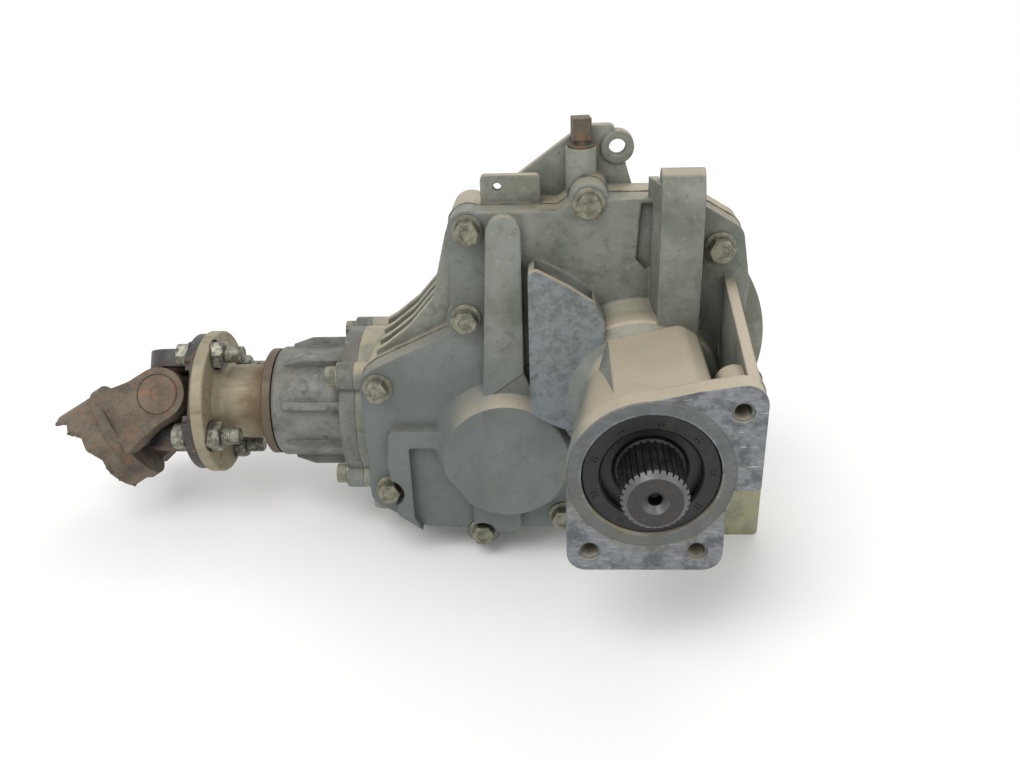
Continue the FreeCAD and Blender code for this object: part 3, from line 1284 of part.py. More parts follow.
def make_cross():
    body = Casting("cross")
    reach = d.cap_outer - d.cap_floor - 0.8
    for plane in ("YZ_Plane", "XZ_Plane"):
        body.add(circles((0, 0, d.trunnion_radius)), -reach, reach, plane)
        body.add(circles((0, 0, d.trunnion_radius + 3)), 0.6 - d.cap_inner, d.cap_inner - 0.6, plane)
    body.add(circles((0, 0, d.trunnion_radius + 4)), -9.5, 9.5)
    body.cut(circles((0, 0, 3)), 7.0, 12.0)
    return body.finish(JOINT_FRAME)


def make_weld_yoke():
    body = Casting("weld_yoke")
    ear = d.ear_radius
    inner = d.cap_outer - 0.5 - d.ear_thick
    collar_end = d.collar_out + d.collar_thick
    outline = [(-ear, -ear, ear - 0.1), (ear, -ear, ear - 0.1), (ear, 12, 20), (ear + 5, d.collar_out + 1),
               (-ear - 5, d.collar_out + 1), (-ear, 12, 20)]
    body.add(outline, inner, inner + d.ear_thick, "XZ_Plane")
    body.add(outline, -(inner + d.ear_thick), -inner, "XZ_Plane")
    body.add(circles((0, 0, d.collar_radius)), d.collar_out, collar_end)
    body.add(circles((0, 0, d.prop_tube_radius - d.prop_tube_wall - d.seat_gap)), collar_end - 1, collar_end + 8)
    body.cut(circles((0, 0, 14)), d.collar_out - 1, collar_end + 9)
    body.cut(circles((0, 0, d.cap_radius + d.seat_gap)), -d.cap_outer - 2, d.cap_outer + 2, "XZ_Plane")
    return body.finish(PROP_FRAME)


def make_prop_tube():
    """The propeller shaft's tube, cut off ragged just behind its yoke."""
    body = Casting("prop_tube")
    start = d.collar_out + d.collar_thick
    body.add(circles((0, 0, d.prop_tube_radius)), start, start + d.prop_tube_long)
    body.cut(circles((0, 0, d.prop_tube_radius - d.prop_tube_wall)), start - 1, start + d.prop_tube_long + 1)
    body.cut([(-40, start + 12), (-24, start + 13.5), (-16, start + 11.5), (-6, start + 16), (2, start + 14.5),
              (10, start + 21), (17, start + 20), (22, start + 27), (40, start + 26), (40, start + 50),
              (-40, start + 50)], -40.0, 40.0, "XZ_Plane")
    return body.finish(PROP_FRAME)


# Rolling bearings


def make_ball_bearing(name, frame, bore, outer, start, thick, count):
    pitch = (bore + outer) / 2
    ball = (outer - bore) * 0.28
    land = ball * 0.4
    middle = start + thick / 2
    for label, inner_wall, outer_wall in (("inner_race", bore, pitch - land), ("outer_race", pitch + land, outer)):
        race = new_body(f"{name}_{label}", frame)
        revolve(race, ring_profile(inner_wall, outer_wall, start, start + thick))
        revolve_circle(race, pitch, middle, ball + d.rolling_gap)
        keep(f"{name}_{label}", race)
    balls = doc.addObject("Part::Sphere", name + "_ball")
    bind(balls, "Radius", ball)
    pocket_solid = doc.addObject("Part::Cylinder", name + "_pocket")
    bind(pocket_solid, "Radius", ball + d.rolling_gap)
    bind(pocket_solid, "Height", outer - bore)
    cage = Casting(name + "_cage")
    ring = cage.turn(ring_profile(pitch - land + 0.4, pitch + land - 0.4, middle - ball - 1.2, middle + ball + 1.2))
    turns = around(FreeCAD.Placement(), count)
    spots = [turn * shifted(pitch, 0, middle) for turn in turns]
    drilled = [turn * shifted(bore, 0, middle) * turned_about(V(0, 1, 0), 90) for turn in turns]
    finish_cage(name, frame, ring, pocket_solid, drilled, balls, spots)


def revolve_circle(body, x, y, radius):
    """A round groove turned out of a race."""
    sketch = sketch_in(body, "XZ_Plane")
    add_circle(sketch, x, y, radius)
    groove = body.newObject("PartDesign::Groove", body.Name + "_groove")
    groove.Profile = sketch
    groove.ReferenceAxis = (sketch, ["V_Axis"])
    groove.Angle = 360


def finish_cage(name, frame, ring, pocket_solid, pocket_spots, element, spots):
    """A cage with a pocket for each rolling element, and the elements in it, as one node."""
    pockets = doc.addObject("Part::Compound", name + "_pockets")
    pockets.Links = copies(pocket_solid, pocket_spots)
    cage = doc.addObject("Part::Cut", name + "_cage_ring")
    cage.Base = ring
    cage.Tool = pockets
    whole = group(name + "_rollers", [cage] + copies(element, spots))
    whole.Placement = frame


def make_taper_bearing(name, frame, bore, outer, start, thick, count, lean):
    """A taper roller bearing. lean is 1 where the cone grows with the station, else -1."""
    angle = 12.0
    pitch = (bore + outer) / 2
    roller = (outer - bore) * 0.21
    roller_long = thick * 0.6
    middle = start + thick / 2
    slope = math.tan(math.radians(angle)) * lean
    off = (roller + d.rolling_gap) / math.cos(math.radians(angle))
    half = thick / 2
    turned(name + "_inner_race", frame, [
        (bore, start), (pitch - off - half * slope, start), (pitch - off + half * slope, start + thick),
        (bore, start + thick)])
    turned(name + "_outer_race", frame, [
        (pitch + off - half * slope, start), (outer, start), (outer, start + thick),
        (pitch + off + half * slope, start + thick)])
    element = doc.addObject("Part::Cylinder", name + "_roller")
    bind(element, "Radius", roller)
    bind(element, "Height", roller_long)
    pocket_solid = doc.addObject("Part::Cylinder", name + "_pocket")
    bind(pocket_solid, "Radius", roller + d.rolling_gap)
    bind(pocket_solid, "Height", roller_long + 2 * d.rolling_gap)
    reach = roller_long / 2 + 1.3
    wall = 0.6
    cage = Casting(name + "_cage")
    ring = cage.turn([
        (pitch - reach * slope - wall, middle - reach), (pitch - reach * slope + wall, middle - reach),
        (pitch + reach * slope + wall, middle + reach), (pitch + reach * slope - wall, middle + reach)])
    tilt = turned_about(V(0, 1, 0), angle * lean)
    middles = [turn * shifted(pitch, 0, middle) * tilt for turn in around(FreeCAD.Placement(), count)]
    spots = [spot * shifted(0, 0, -roller_long / 2) for spot in middles]
    pocket_spots = [spot * shifted(0, 0, -roller_long / 2 - d.rolling_gap) for spot in middles]
    finish_cage(name, frame, ring, pocket_solid, pocket_spots, element, spots)


def make_bearings():
    make_ball_bearing("input_back", OUTPUT_AXIS, d.input_journal_radius, d.input_bearing_radius,
                      d.input_bearing_back, d.input_bearing_thick, 16)
    make_ball_bearing("input_front", OUTPUT_AXIS, d.input_journal_radius, d.input_bearing_radius,
                      cover_floor + 0.8, d.input_bearing_thick, 16)
    make_ball_bearing("output", OUTPUT_AXIS, d.output_journal_radius, d.output_bearing_radius,
                      d.output_bearing_front, d.output_bearing_thick, 12)
    make_taper_bearing("counter_back", COUNTER_AXIS, d.counter_back_radius, d.counter_back_outer,
                       d.counter_back_front, d.counter_back_thick, 14, -1)
    make_taper_bearing("counter_front", COUNTER_AXIS, d.counter_front_radius, d.counter_front_outer,
                       cover_floor, d.counter_front_thick, 15, 1)
    make_taper_bearing("pinion_head", PINION_AXIS, d.head_bore, d.head_outer, head_out, d.head_thick, 14, -1)
    make_taper_bearing("pinion_tail", PINION_AXIS, d.tail_bore, d.tail_outer, d.tail_out, d.tail_thick, 14, 1)


# Fasteners


def make_fasteners():
    cover_bolt = flange_bolt("cover_bolt", d.bolt_radius, d.bolt_length, d.bolt_head_across, d.bolt_head_high,
                             d.bolt_washer_radius, d.bolt_washer_thick)
    group("cover_bolts", copies(cover_bolt, [
        OUTPUT_AXIS * shifted(across, up, d.seat_front) for across, up in cover_bolt_places]))
    flange_end = d.nose_face_out + d.nose_flange_thick
    housing_bolt = flange_bolt("housing_bolt", d.bolt_radius, d.housing_bolt_length, d.bolt_head_across,
                               d.bolt_head_high, d.bolt_washer_radius, d.bolt_washer_thick)
    group("housing_bolts", copies(housing_bolt, [
        PINION_AXIS * shifted(up_off, -front_off, flange_end) for up_off, front_off in nose_bolt_places()]))
    dowel = new_body("dowel", FreeCAD.Placement())
    revolve(dowel, ring_profile(d.bolt_radius + d.bolt_gap, d.dowel_radius, -d.dowel_long / 2 + 0.2,
                                d.dowel_long / 2 - 0.2))
    group("ring_dowels", copies(dowel, [
        OUTPUT_AXIS * shifted(*cover_bolt_places[index], d.split_front + d.gasket_thick / 2) for index in (3, 7)]))
    ring_bolt = flange_bolt("ring_bolt", d.ring_bolt_radius, d.ring_bolt_length, 11.0, d.ring_bolt_sunk - 1, 7.2, 0.8)
    group("ring_gear_bolts", copies(ring_bolt, [
        COUNTER_AXIS * turn * shifted(d.ring_bolt_circle / 2, 0, ring_bolt_seat)
        for turn in around(FreeCAD.Placement(), int(d.ring_bolt_count))]))
    yoke_bolt = flange_bolt("yoke_bolt", d.yoke_bolt_radius, d.yoke_bolt_length, 14.0, 6.6, 8.4, 1.6)
    joint_turns = around(turned_about(V(0, 0, 1), d.joint_turn + 45), 4)
    group("flange_bolts", copies(yoke_bolt, [
        PINION_AXIS * turn * shifted(d.yoke_bolt_circle / 2, 0, yoke_face) for turn in joint_turns]))
    yoke_nut = hex_nut("yoke_nut", 16.0, d.yoke_bolt_radius + d.tap_gap, 8.4)
    facing_back = turned_about(V(1, 0, 0), 180)
    group("flange_nuts", copies(yoke_nut, [
        PINION_AXIS * turn * shifted(d.yoke_bolt_circle / 2, 0, d.companion_out + 1) * facing_back
        for turn in joint_turns]))
    plug = new_body("filler_plug", FreeCAD.Placement())
    thread = d.plug_thread_radius
    revolve(plug, [(0, -14), (thread - 1, -14), (thread, -13), (thread, 0), (thread + 2.2, 0),
                   (thread + 2.2, 1.6), (thread - 0.4, 2), (thread - 0.4, 5), (0, 5)])
    pad(plug, [(-5, -5, 1), (5, -5, 1), (5, 5, 1), (-5, 5, 1)], 4.0, 15.5)
    up_frame = shifted(-d.plug_across, -d.plug_front, d.plug_boss_top)
    plug.Placement = up_frame * turned_about(V(0, 0, 1), 8)
    keep("filler_plug", plug)
    drain = flange_bolt("drain_plug", d.drain_thread_radius, 11.0, 14.0, 6.0, 9.8, 2.0)
    drain.Placement = shifted(-d.counter_across, -d.drain_front, -d.drain_boss_low) * turned_about(V(1, 0, 0), 180)
    keep("drain_plug", drain)


def make_all():
    make_main_case()
    make_front_cover()
    make_cover_gasket()
    make_pinion_housing()
    make_output_shaft()
    make_input_shaft()
    make_output_seal()
    make_output_circlip()
    make_small_rings()
    helix = float(d.helix_angle)
    helical_gear("drive_gear", OUTPUT_AXIS, int(d.drive_teeth), drive_pitch, helix, mesh_angle,
                 float(d.gear_seat_radius + d.seat_gap))
    helical_gear("driven_gear", COUNTER_AXIS, int(d.driven_teeth), driven_pitch, -helix,
                 mesh_angle + math.pi + math.pi / float(d.driven_teeth), float(d.counter_seat_radius - 1 + d.seat_gap))
    make_counter_shaft()
    make_ring_gear()
    make_pinion_shaft()
    make_companion_parts()
    make_flange_yoke()
    sideways = turned_about(V(0, 1, 0), 90)
    make_caps("flange_yoke_caps", JOINT_FRAME, sideways)
    make_cross()
    make_weld_yoke()
    make_caps("weld_yoke_caps", PROP_FRAME, turned_about(V(1, 0, 0), 90))
    make_prop_tube()
    make_bearings()
    make_fasteners()


def check_and_write():
    doc.recompute()
    for item in doc.Objects:
        if "Invalid" in item.State or "Error" in item.State:
            raise RuntimeError(f"{item.Name} failed: {item.State}")
    os.makedirs("parts", exist_ok=True)
    for label, item in nodes.items():
        shape = item.Shape
        if shape.isNull() or not shape.isValid() or not shape.Solids:
            raise RuntimeError(f"{label} has no valid solid")
        shape.exportStep(f"parts/{label}.step")
        print(label, len(shape.Solids), round(shape.Volume))


make_all()
check_and_write()
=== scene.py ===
import json
import math
import random

import bmesh
import bpy
from mathutils import Matrix, Vector, noise


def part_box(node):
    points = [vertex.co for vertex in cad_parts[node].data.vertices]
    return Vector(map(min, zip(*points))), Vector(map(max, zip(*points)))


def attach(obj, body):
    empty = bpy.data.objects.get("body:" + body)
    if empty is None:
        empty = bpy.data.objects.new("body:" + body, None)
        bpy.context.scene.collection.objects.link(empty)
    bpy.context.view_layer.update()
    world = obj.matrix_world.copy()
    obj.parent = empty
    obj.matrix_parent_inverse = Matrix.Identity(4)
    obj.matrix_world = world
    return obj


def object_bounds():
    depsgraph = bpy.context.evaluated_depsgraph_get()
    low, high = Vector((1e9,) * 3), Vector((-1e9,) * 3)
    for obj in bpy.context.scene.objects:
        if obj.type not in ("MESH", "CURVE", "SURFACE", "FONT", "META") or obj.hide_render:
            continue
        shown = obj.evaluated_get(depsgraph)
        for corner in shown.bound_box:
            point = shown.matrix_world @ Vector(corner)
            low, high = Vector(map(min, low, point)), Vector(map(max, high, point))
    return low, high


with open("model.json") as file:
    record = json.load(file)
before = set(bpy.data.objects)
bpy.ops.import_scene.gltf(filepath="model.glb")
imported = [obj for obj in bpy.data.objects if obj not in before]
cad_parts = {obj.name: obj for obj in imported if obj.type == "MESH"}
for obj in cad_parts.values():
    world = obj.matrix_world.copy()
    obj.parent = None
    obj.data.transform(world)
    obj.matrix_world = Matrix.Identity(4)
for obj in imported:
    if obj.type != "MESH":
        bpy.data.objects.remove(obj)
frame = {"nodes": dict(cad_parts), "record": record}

cad_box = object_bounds()
MM = 0.001
nodes = frame["nodes"]

# Places that the pieces below share, in metres, in the model's frame

SPLIT = -0.07125
GASKET_FACE = -0.0715
FLANGE_FACE = -0.1852
SEAL_FACE = -0.184
PANEL_FACE = -0.107
PINION_Y = -0.022
PINION_Z = -0.044
CROSS_X = -0.298
YOKE_BOLT_REACH = 0.037
PHOTO_WIDTH = 1020
JOINT_TURN = math.radians(36)
DROOP = math.radians(33)
FOLD_RISE = 0.772
FOLD_START = 0.0598
CROSS = Vector((CROSS_X, PINION_Y, PINION_Z))
FIRST_TRUNNION = Vector((0, math.sin(JOINT_TURN), math.cos(JOINT_TURN)))
SECOND_TRUNNION = Vector((0, math.cos(JOINT_TURN), -math.sin(JOINT_TURN)))
LEFT = Vector((-1, 0, 0))
TUBE_AXIS = LEFT * math.cos(DROOP) - FIRST_TRUNNION * math.sin(DROOP)

# Node trees for finishes


def paint(red, green, blue):
    """A colour as it looks on a screen, from 0 to 255, in the linear parts that shaders use."""
    def linear(part):
        part /= 255
        return part / 12.92 if part <= 0.04045 else ((part + 0.055) / 1.055) ** 2.4

    return (linear(red), linear(green), linear(blue), 1.0)


class Finish:
    """One material's node tree, with short words for what its layers need."""

    def __init__(self, name):
        self.material = bpy.data.materials.new(name)
        self.material.use_nodes = True
        self.tree = self.material.node_tree
        self.tree.nodes.clear()
        coordinates = self.add("ShaderNodeTexCoord")
        self.place = coordinates.outputs["Object"]
        facing = self.add("ShaderNodeSeparateXYZ", Vector=coordinates.outputs["Normal"])
        _, self.facing_y, self.facing_up = facing.outputs
        where = self.add("ShaderNodeSeparateXYZ", Vector=self.place)
        self.x, self.y, self.z = where.outputs

    def add(self, kind, settings=None, **inputs):
        node = self.tree.nodes.new(kind)
        for key, value in (settings or {}).items():
            setattr(node, key, value)
        for name, value in inputs.items():
            self.feed(node.inputs[name.replace("_", " ")], value)
        return node

    def feed(self, socket, value):
        if isinstance(value, bpy.types.NodeSocket):
            self.tree.links.new(value, socket)
        else:
            socket.default_value = value

    def math(self, operation, first, second=0.0):
        node = self.add("ShaderNodeMath", {"operation": operation})
        self.feed(node.inputs[0], first)
        self.feed(node.inputs[1], second)
        return node.outputs[0]

    def both(self, *masks):
        result = masks[0]
        for mask in masks[1:]:
            result = self.math("MULTIPLY", result, mask)
        return result

    def grain(self, size, detail=5.0, roughness=0.6, squeeze=(1, 1, 1), shift=(0, 0, 0)):
        """Cloudy noise whose features are about so many millimetres across."""
        mapped = self.add("ShaderNodeMapping", Vector=self.place, Location=shift, Scale=squeeze)
        node = self.add("ShaderNodeTexNoise", Vector=mapped.outputs[0], Scale=1 / (size * MM),
                        Detail=detail, Roughness=roughness)
        return node.outputs["Fac"]

    def cells(self, size):
        return self.add("ShaderNodeTexVoronoi", Vector=self.place, Scale=1 / (size * MM)).outputs["Distance"]

    def step(self, value, low, high):
        """0 below low, 1 above high, smooth between. With low above high it runs the other way."""
        node = self.add("ShaderNodeMapRange", {"interpolation_type": "SMOOTHSTEP"}, Value=value)
        node.inputs["From Min"].default_value = min(low, high)
        node.inputs["From Max"].default_value = max(low, high)
        node.inputs["To Min"].default_value = 0.0 if low < high else 1.0
        node.inputs["To Max"].default_value = 1.0 if low < high else 0.0
        return node.outputs["Result"]

    def mix(self, share, first, second):
        node = self.add("ShaderNodeMix", {"data_type": "RGBA"})
        self.feed(node.inputs[0], share)
        self.feed(node.inputs[6], first)
        self.feed(node.inputs[7], second)
        return node.outputs[2]

    def blend(self, share, first, second):
        node = self.add("ShaderNodeMix", {"data_type": "FLOAT"})
        self.feed(node.inputs[0], share)
        self.feed(node.inputs[2], first)
        self.feed(node.inputs[3], second)
        return node.outputs[0]

    def rounded(self, radius):
        """The surface's normal with its sharp edges turned over a radius in millimetres."""
        return self.add("ShaderNodeBevel", {"samples": 4}, Radius=radius * MM).outputs["Normal"]

    def edges(self, radius):
        """1 along sharp edges and 0 on the flats; the finishes paint these edges worn or knocked bright, and
        on the castings also give them a painted highlight.
        """
        plain = self.add("ShaderNodeNewGeometry").outputs["Normal"]
        turned = self.rounded(radius)
        node = self.add("ShaderNodeVectorMath", {"operation": "DOT_PRODUCT"})
        self.feed(node.inputs[0], plain)
        self.feed(node.inputs[1], turned)
        return self.step(node.outputs["Value"], 0.99, 0.75)

    def nook(self, reach):
        """1 in corners and recesses, within a reach in millimetres, and 0 in the open."""
        node = self.add("ShaderNodeAmbientOcclusion", {"samples": 6, "only_local": False},
                        Distance=reach * MM)
        return self.step(node.outputs["AO"], 0.85, 0.25)

    def faces_front(self):
        """1 on flats that face the front of the object, and 0 elsewhere."""
        return self.step(self.facing_y, -0.9, -0.98)

    def bump(self, height, depth, normal=None):
        node = self.add("ShaderNodeBump", Height=height, Distance=depth * MM, Strength=1.0)
        if normal is not None:
            self.feed(node.inputs["Normal"], normal)
        return node.outputs["Normal"]

    def ring_distance(self, along, x=0.0, y=0.0, z=0.0):
        """Distance from an axis that runs along one of the model's own directions."""
        parts = {"X": (self.y, y, self.z, z), "Y": (self.x, x, self.z, z), "Z": (self.x, x, self.y, y)}[along]
        first = self.math("SUBTRACT", parts[0], parts[1])
        second = self.math("SUBTRACT", parts[2], parts[3])
        squares = self.math("ADD", self.math("MULTIPLY", first, first), self.math("MULTIPLY", second, second))
        return self.math("SQRT", squares)

    def done(self, colour, roughness, metallic, normal):
        surface = self.add("ShaderNodeBsdfPrincipled", Base_Color=colour, Roughness=roughness,
                           Metallic=metallic, Normal=normal)
        output = self.add("ShaderNodeOutputMaterial", Surface=surface.outputs[0])
        output.is_active_output = True
        return self.material


# Cast aluminium


def cast_layers(finish, bright, dull, grime):
    """Mottled oxide, pits, painted shade in nooks, and knocked edges partly given a painted highlight, on a
    sand-cast wall.
    """
    cloud = finish.grain(38, 3.0)
    mottle = finish.grain(7, 6.0, 0.65)
    colour = finish.mix(finish.step(cloud, 0.38, 0.62), bright, dull)
    colour = finish.mix(finish.math("MULTIPLY", finish.step(mottle, 0.5, 0.72), 0.45), colour, grime)
    pale = finish.both(finish.step(finish.grain(3.2, 4.0, 0.7, shift=(5, 2, 9)), 0.56, 0.74), 0.3)
    colour = finish.mix(pale, colour, paint(178, 178, 166))
    pits = finish.step(finish.cells(3.4), 0.13, 0.05)
    pits = finish.both(pits, finish.step(finish.grain(22, 2.0), 0.44, 0.56))
    colour = finish.mix(finish.math("MULTIPLY", pits, 0.7), colour, paint(48, 46, 38))
    # painted shade: corners and recesses within the reach are darkened towards a dark brown grey
    nook = finish.nook(11)
    colour = finish.mix(finish.math("MULTIPLY", nook, 0.62), colour, paint(58, 54, 42))
    # pale edges: partly knocked wear and partly a painted highlight along convex edges
    edge = finish.both(finish.edges(1.3), finish.step(finish.grain(6, 4.0), 0.35, 0.6), 0.55)
    colour = finish.mix(edge, colour, paint(176, 176, 168))
    fine = finish.grain(0.9, 3.0, 0.7)
    rough = finish.grain(3.0, 5.0, 0.6)
    normal = finish.rounded(1.8)
    normal = finish.bump(rough, 0.45, normal)
    normal = finish.bump(fine, 0.16, normal)
    normal = finish.bump(finish.math("MULTIPLY", pits, -1.0), 0.25, normal)
    return colour, normal, nook


def with_dust(finish, colour, nook, low, high, dust, most):
    """Pale road dust that lies on what faces up, but not in holes."""
    clear = finish.math("SUBTRACT", 1.0, nook)
    upward = finish.step(finish.facing_up, low, high)
    patchy = finish.step(finish.grain(16, 5.0, 0.62, shift=(3, 7, 1)), 0.28, 0.58)
    return finish.mix(finish.both(upward, patchy, clear, most), colour, dust)


def cover_casting():
    finish = Finish("cover_casting")
    colour, normal, nook = cast_layers(finish, paint(130, 133, 125), paint(108, 112, 101), paint(80, 82, 68))
    # the lower cover is darker and bluer than its top
    lower = finish.step(finish.math("ADD", finish.z, finish.math("MULTIPLY", finish.grain(40, 3.0), 0.05)),
                        0.075, 0.0)
    colour = finish.mix(finish.math("MULTIPLY", lower, 0.6), colour, paint(102, 109, 110))
    colour = with_dust(finish, colour, nook, 0.45, 0.9, paint(160, 150, 128), 0.6)
    tube_top = finish.both(finish.step(finish.y, -0.088, -0.105), finish.step(finish.facing_up, 0.4, 0.75))
    colour = finish.mix(finish.math("MULTIPLY", tube_top, 0.8), colour, paint(182, 170, 149))
    # the left column between panel and rim is darker than the middle
    left = finish.both(finish.step(finish.x, -0.078, -0.09), 0.35)
    colour = finish.mix(left, colour, paint(90, 97, 98))
    # the smooth gusset panel's front face is painted a mottled bluish grey
    panel = finish.both(finish.step(finish.y, PANEL_FACE + 0.0006, PANEL_FACE + 0.0001),
                        finish.faces_front(), finish.step(finish.y, -0.1085, -0.1078))
    panel_grey = finish.mix(finish.step(finish.grain(5, 6.0, 0.7, shift=(2, 8, 5)), 0.42, 0.62),
                      paint(126, 134, 139), paint(96, 103, 107))
    colour = finish.mix(finish.math("MULTIPLY", panel, 0.72), colour, panel_grey)
    # painted shadow: a thin dark line, with painted shade below it, runs slanting from the panel's corner up
    # to the gusset along a low fold
    across = finish.math("SUBTRACT", finish.math("MULTIPLY", finish.x, FOLD_RISE), finish.z)
    offset = finish.math("ADD", across, FOLD_START)
    on_fold = finish.both(finish.step(finish.x, -0.0885, -0.0865), finish.step(finish.x, -0.0525, -0.062),
                          finish.faces_front(), finish.step(finish.z, 0.024, 0.022))
    below = finish.both(finish.step(offset, 0.0, 0.0006), finish.step(offset, 0.03, 0.004), on_fold)
    line = finish.both(finish.step(offset, -0.0005, 0.0), finish.step(offset, 0.0012, 0.0003), on_fold)
    # painted shade below the fold line, then the painted shadow line itself
    colour = finish.mix(finish.math("MULTIPLY", below, 0.35), colour, paint(84, 84, 74))
    colour = finish.mix(finish.math("MULTIPLY", line, 0.75), colour, paint(46, 46, 42))
    # bright machined face with scratches, and oil round the seal
    milled = finish.both(finish.step(finish.y, FLANGE_FACE + 0.0006, FLANGE_FACE + 0.0003),
                         finish.faces_front())
    scratches = finish.grain(2.2, 6.0, 0.75, squeeze=(0.3, 1, 1.2))
    bright = finish.mix(finish.step(scratches, 0.4, 0.75), paint(112, 115, 119), paint(146, 149, 152))
    bright = finish.mix(finish.both(finish.step(finish.grain(11, 6.0, 0.7), 0.44, 0.62), 0.8), bright,
                        paint(76, 79, 81))
    thin = finish.step(finish.grain(1.6, 3.0, 0.5, squeeze=(0.12, 1, 0.9), shift=(4, 4, 7)), 0.67, 0.73)
    bright = finish.mix(finish.math("MULTIPLY", thin, 0.5), bright, paint(186, 188, 186))
    around = finish.ring_distance("Y")
    oil = finish.both(finish.step(around, 0.047, 0.036), finish.step(finish.z, 0.012, -0.03),
                      finish.step(finish.grain(9, 5.0), 0.32, 0.6), 0.75)
    bright = finish.mix(oil, bright, paint(120, 112, 66))
    rim = finish.both(finish.step(around, 0.0418, 0.0408), finish.step(around, 0.0345, 0.0352))
    bright = finish.mix(finish.math("MULTIPLY", rim, 0.75), bright, paint(88, 91, 90))
    colour = finish.mix(milled, colour, bright)
    roughness = finish.blend(milled, finish.blend(nook, 0.62, 0.85), 0.36)
    metallic = finish.blend(milled, 0.22, 0.5)
    scored = finish.bump(scratches, 0.06, finish.rounded(0.8))
    bumps = finish.add("ShaderNodeMix", {"data_type": "VECTOR"})
    finish.feed(bumps.inputs[0], milled)
    finish.feed(bumps.inputs[4], normal)
    finish.feed(bumps.inputs[5], scored)
    return finish.done(colour, roughness, metallic, bumps.outputs[1])


def case_casting():
    finish = Finish("case_casting")
    colour, normal, nook = cast_layers(finish, paint(144, 146, 136), paint(120, 122, 109), paint(86, 86, 72))
    colour = with_dust(finish, colour, nook, 0.3, 0.85, paint(166, 154, 130), 0.8)
    # yellow oil film on the foot
    foot = finish.both(finish.step(finish.x, 0.03, 0.05), finish.step(finish.z, -0.05, -0.08),
                       finish.step(finish.grain(12, 4.0), 0.3, 0.55), 0.7)
    colour = finish.mix(foot, colour, paint(168, 164, 126))
    back = finish.both(finish.step(finish.y, -0.0004, 0.0), finish.step(finish.facing_y, 0.9, 0.98))
    colour = finish.mix(finish.math("MULTIPLY", back, 0.8), colour, paint(178, 179, 176))
    roughness = finish.blend(nook, 0.62, 0.86)
    return finish.done(colour, finish.blend(back, roughness, 0.38), finish.blend(back, 0.26, 0.75), normal)


def housing_casting():
    finish = Finish("housing_casting")
    colour, normal, nook = cast_layers(finish, paint(128, 130, 125), paint(106, 107, 101), paint(76, 74, 64))
    dark = finish.both(finish.step(finish.grain(8, 6.0, 0.7), 0.52, 0.7), 0.6)
    colour = finish.mix(dark, colour, paint(58, 56, 50))
    colour = with_dust(finish, colour, nook, 0.2, 0.9, paint(88, 86, 76), 0.55)
    return finish.done(colour, finish.blend(nook, 0.55, 0.82), 0.32, normal)


# Steel, rust, paint, rubber


def rust_steel(name, ground, scale_colour, bright, orange, amount, pit_size=2.2):
    """Brown rust over steel, with scale, pits and some orange bloom."""
    finish = Finish(name)
    cloud = finish.grain(15, 5.0, 0.65)
    colour = finish.mix(finish.step(cloud, 0.35, 0.65), ground, scale_colour)
    bloom = finish.both(finish.step(finish.grain(9, 6.0, 0.7, shift=(1, 4, 2)), 0.5, 0.68), amount)
    colour = finish.mix(bloom, colour, orange)
    spots = finish.step(finish.cells(pit_size), 0.22, 0.05)
    spots = finish.both(spots, finish.step(finish.grain(12, 3.0), 0.45, 0.6))
    colour = finish.mix(finish.math("MULTIPLY", spots, 0.75), colour, paint(34, 28, 24))
    edge = finish.both(finish.edges(0.8), finish.step(finish.grain(5, 4.0), 0.4, 0.6), 0.6)
    colour = finish.mix(edge, colour, bright)
    # painted shade: corners and recesses are darkened almost to black
    colour = finish.mix(finish.math("MULTIPLY", finish.nook(7), 0.7), colour, paint(30, 26, 22))
    crust = finish.grain(1.8, 6.0, 0.7)
    normal = finish.bump(crust, 0.4, finish.rounded(1.0))
    normal = finish.bump(finish.math("MULTIPLY", spots, -1.0), 0.35, normal)
    roughness = finish.blend(finish.step(crust, 0.4, 0.7), 0.62, 0.88)
    return finish.done(colour, roughness, 0.2, normal)


def companion_finish():
    """Beige dust on the disc and neck that turns to brown rust by the seal."""
    finish = Finish("rusty_flange")
    along = finish.math("ADD", finish.x, finish.math("MULTIPLY", finish.grain(12, 4.0), 0.02))
    colour = finish.mix(finish.step(along, -0.242, -0.222), paint(142, 134, 111), paint(100, 80, 56))
    streak = finish.grain(6, 5.0, 0.65, squeeze=(0.35, 1, 1))
    colour = finish.mix(finish.both(finish.step(streak, 0.5, 0.7), 0.5), colour, paint(112, 88, 56))
    edge = finish.both(finish.edges(0.9), 0.55)
    colour = finish.mix(edge, colour, paint(96, 78, 56))
    colour = finish.mix(finish.both(finish.step(finish.x, -0.2275, -0.2245), 0.5), colour, paint(92, 66, 42))
    # painted shade: corners and recesses are darkened to a dark brown
    colour = finish.mix(finish.math("MULTIPLY", finish.nook(8), 0.6), colour, paint(52, 42, 30))
    # the dust ring round the seal is the darkest of the flange
    outward = finish.ring_distance("X", y=PINION_Y, z=PINION_Z)
    dust_ring = finish.both(finish.step(finish.x, -0.2308, -0.2302),
                            finish.step(outward, 0.0258, 0.0264), 0.85)
    colour = finish.mix(dust_ring, colour, paint(88, 80, 66))
    normal = finish.bump(finish.grain(1.4, 5.0, 0.65), 0.16, finish.rounded(0.8))
    return finish.done(colour, finish.blend(finish.step(streak, 0.4, 0.7), 0.52, 0.75), 0.25, normal)


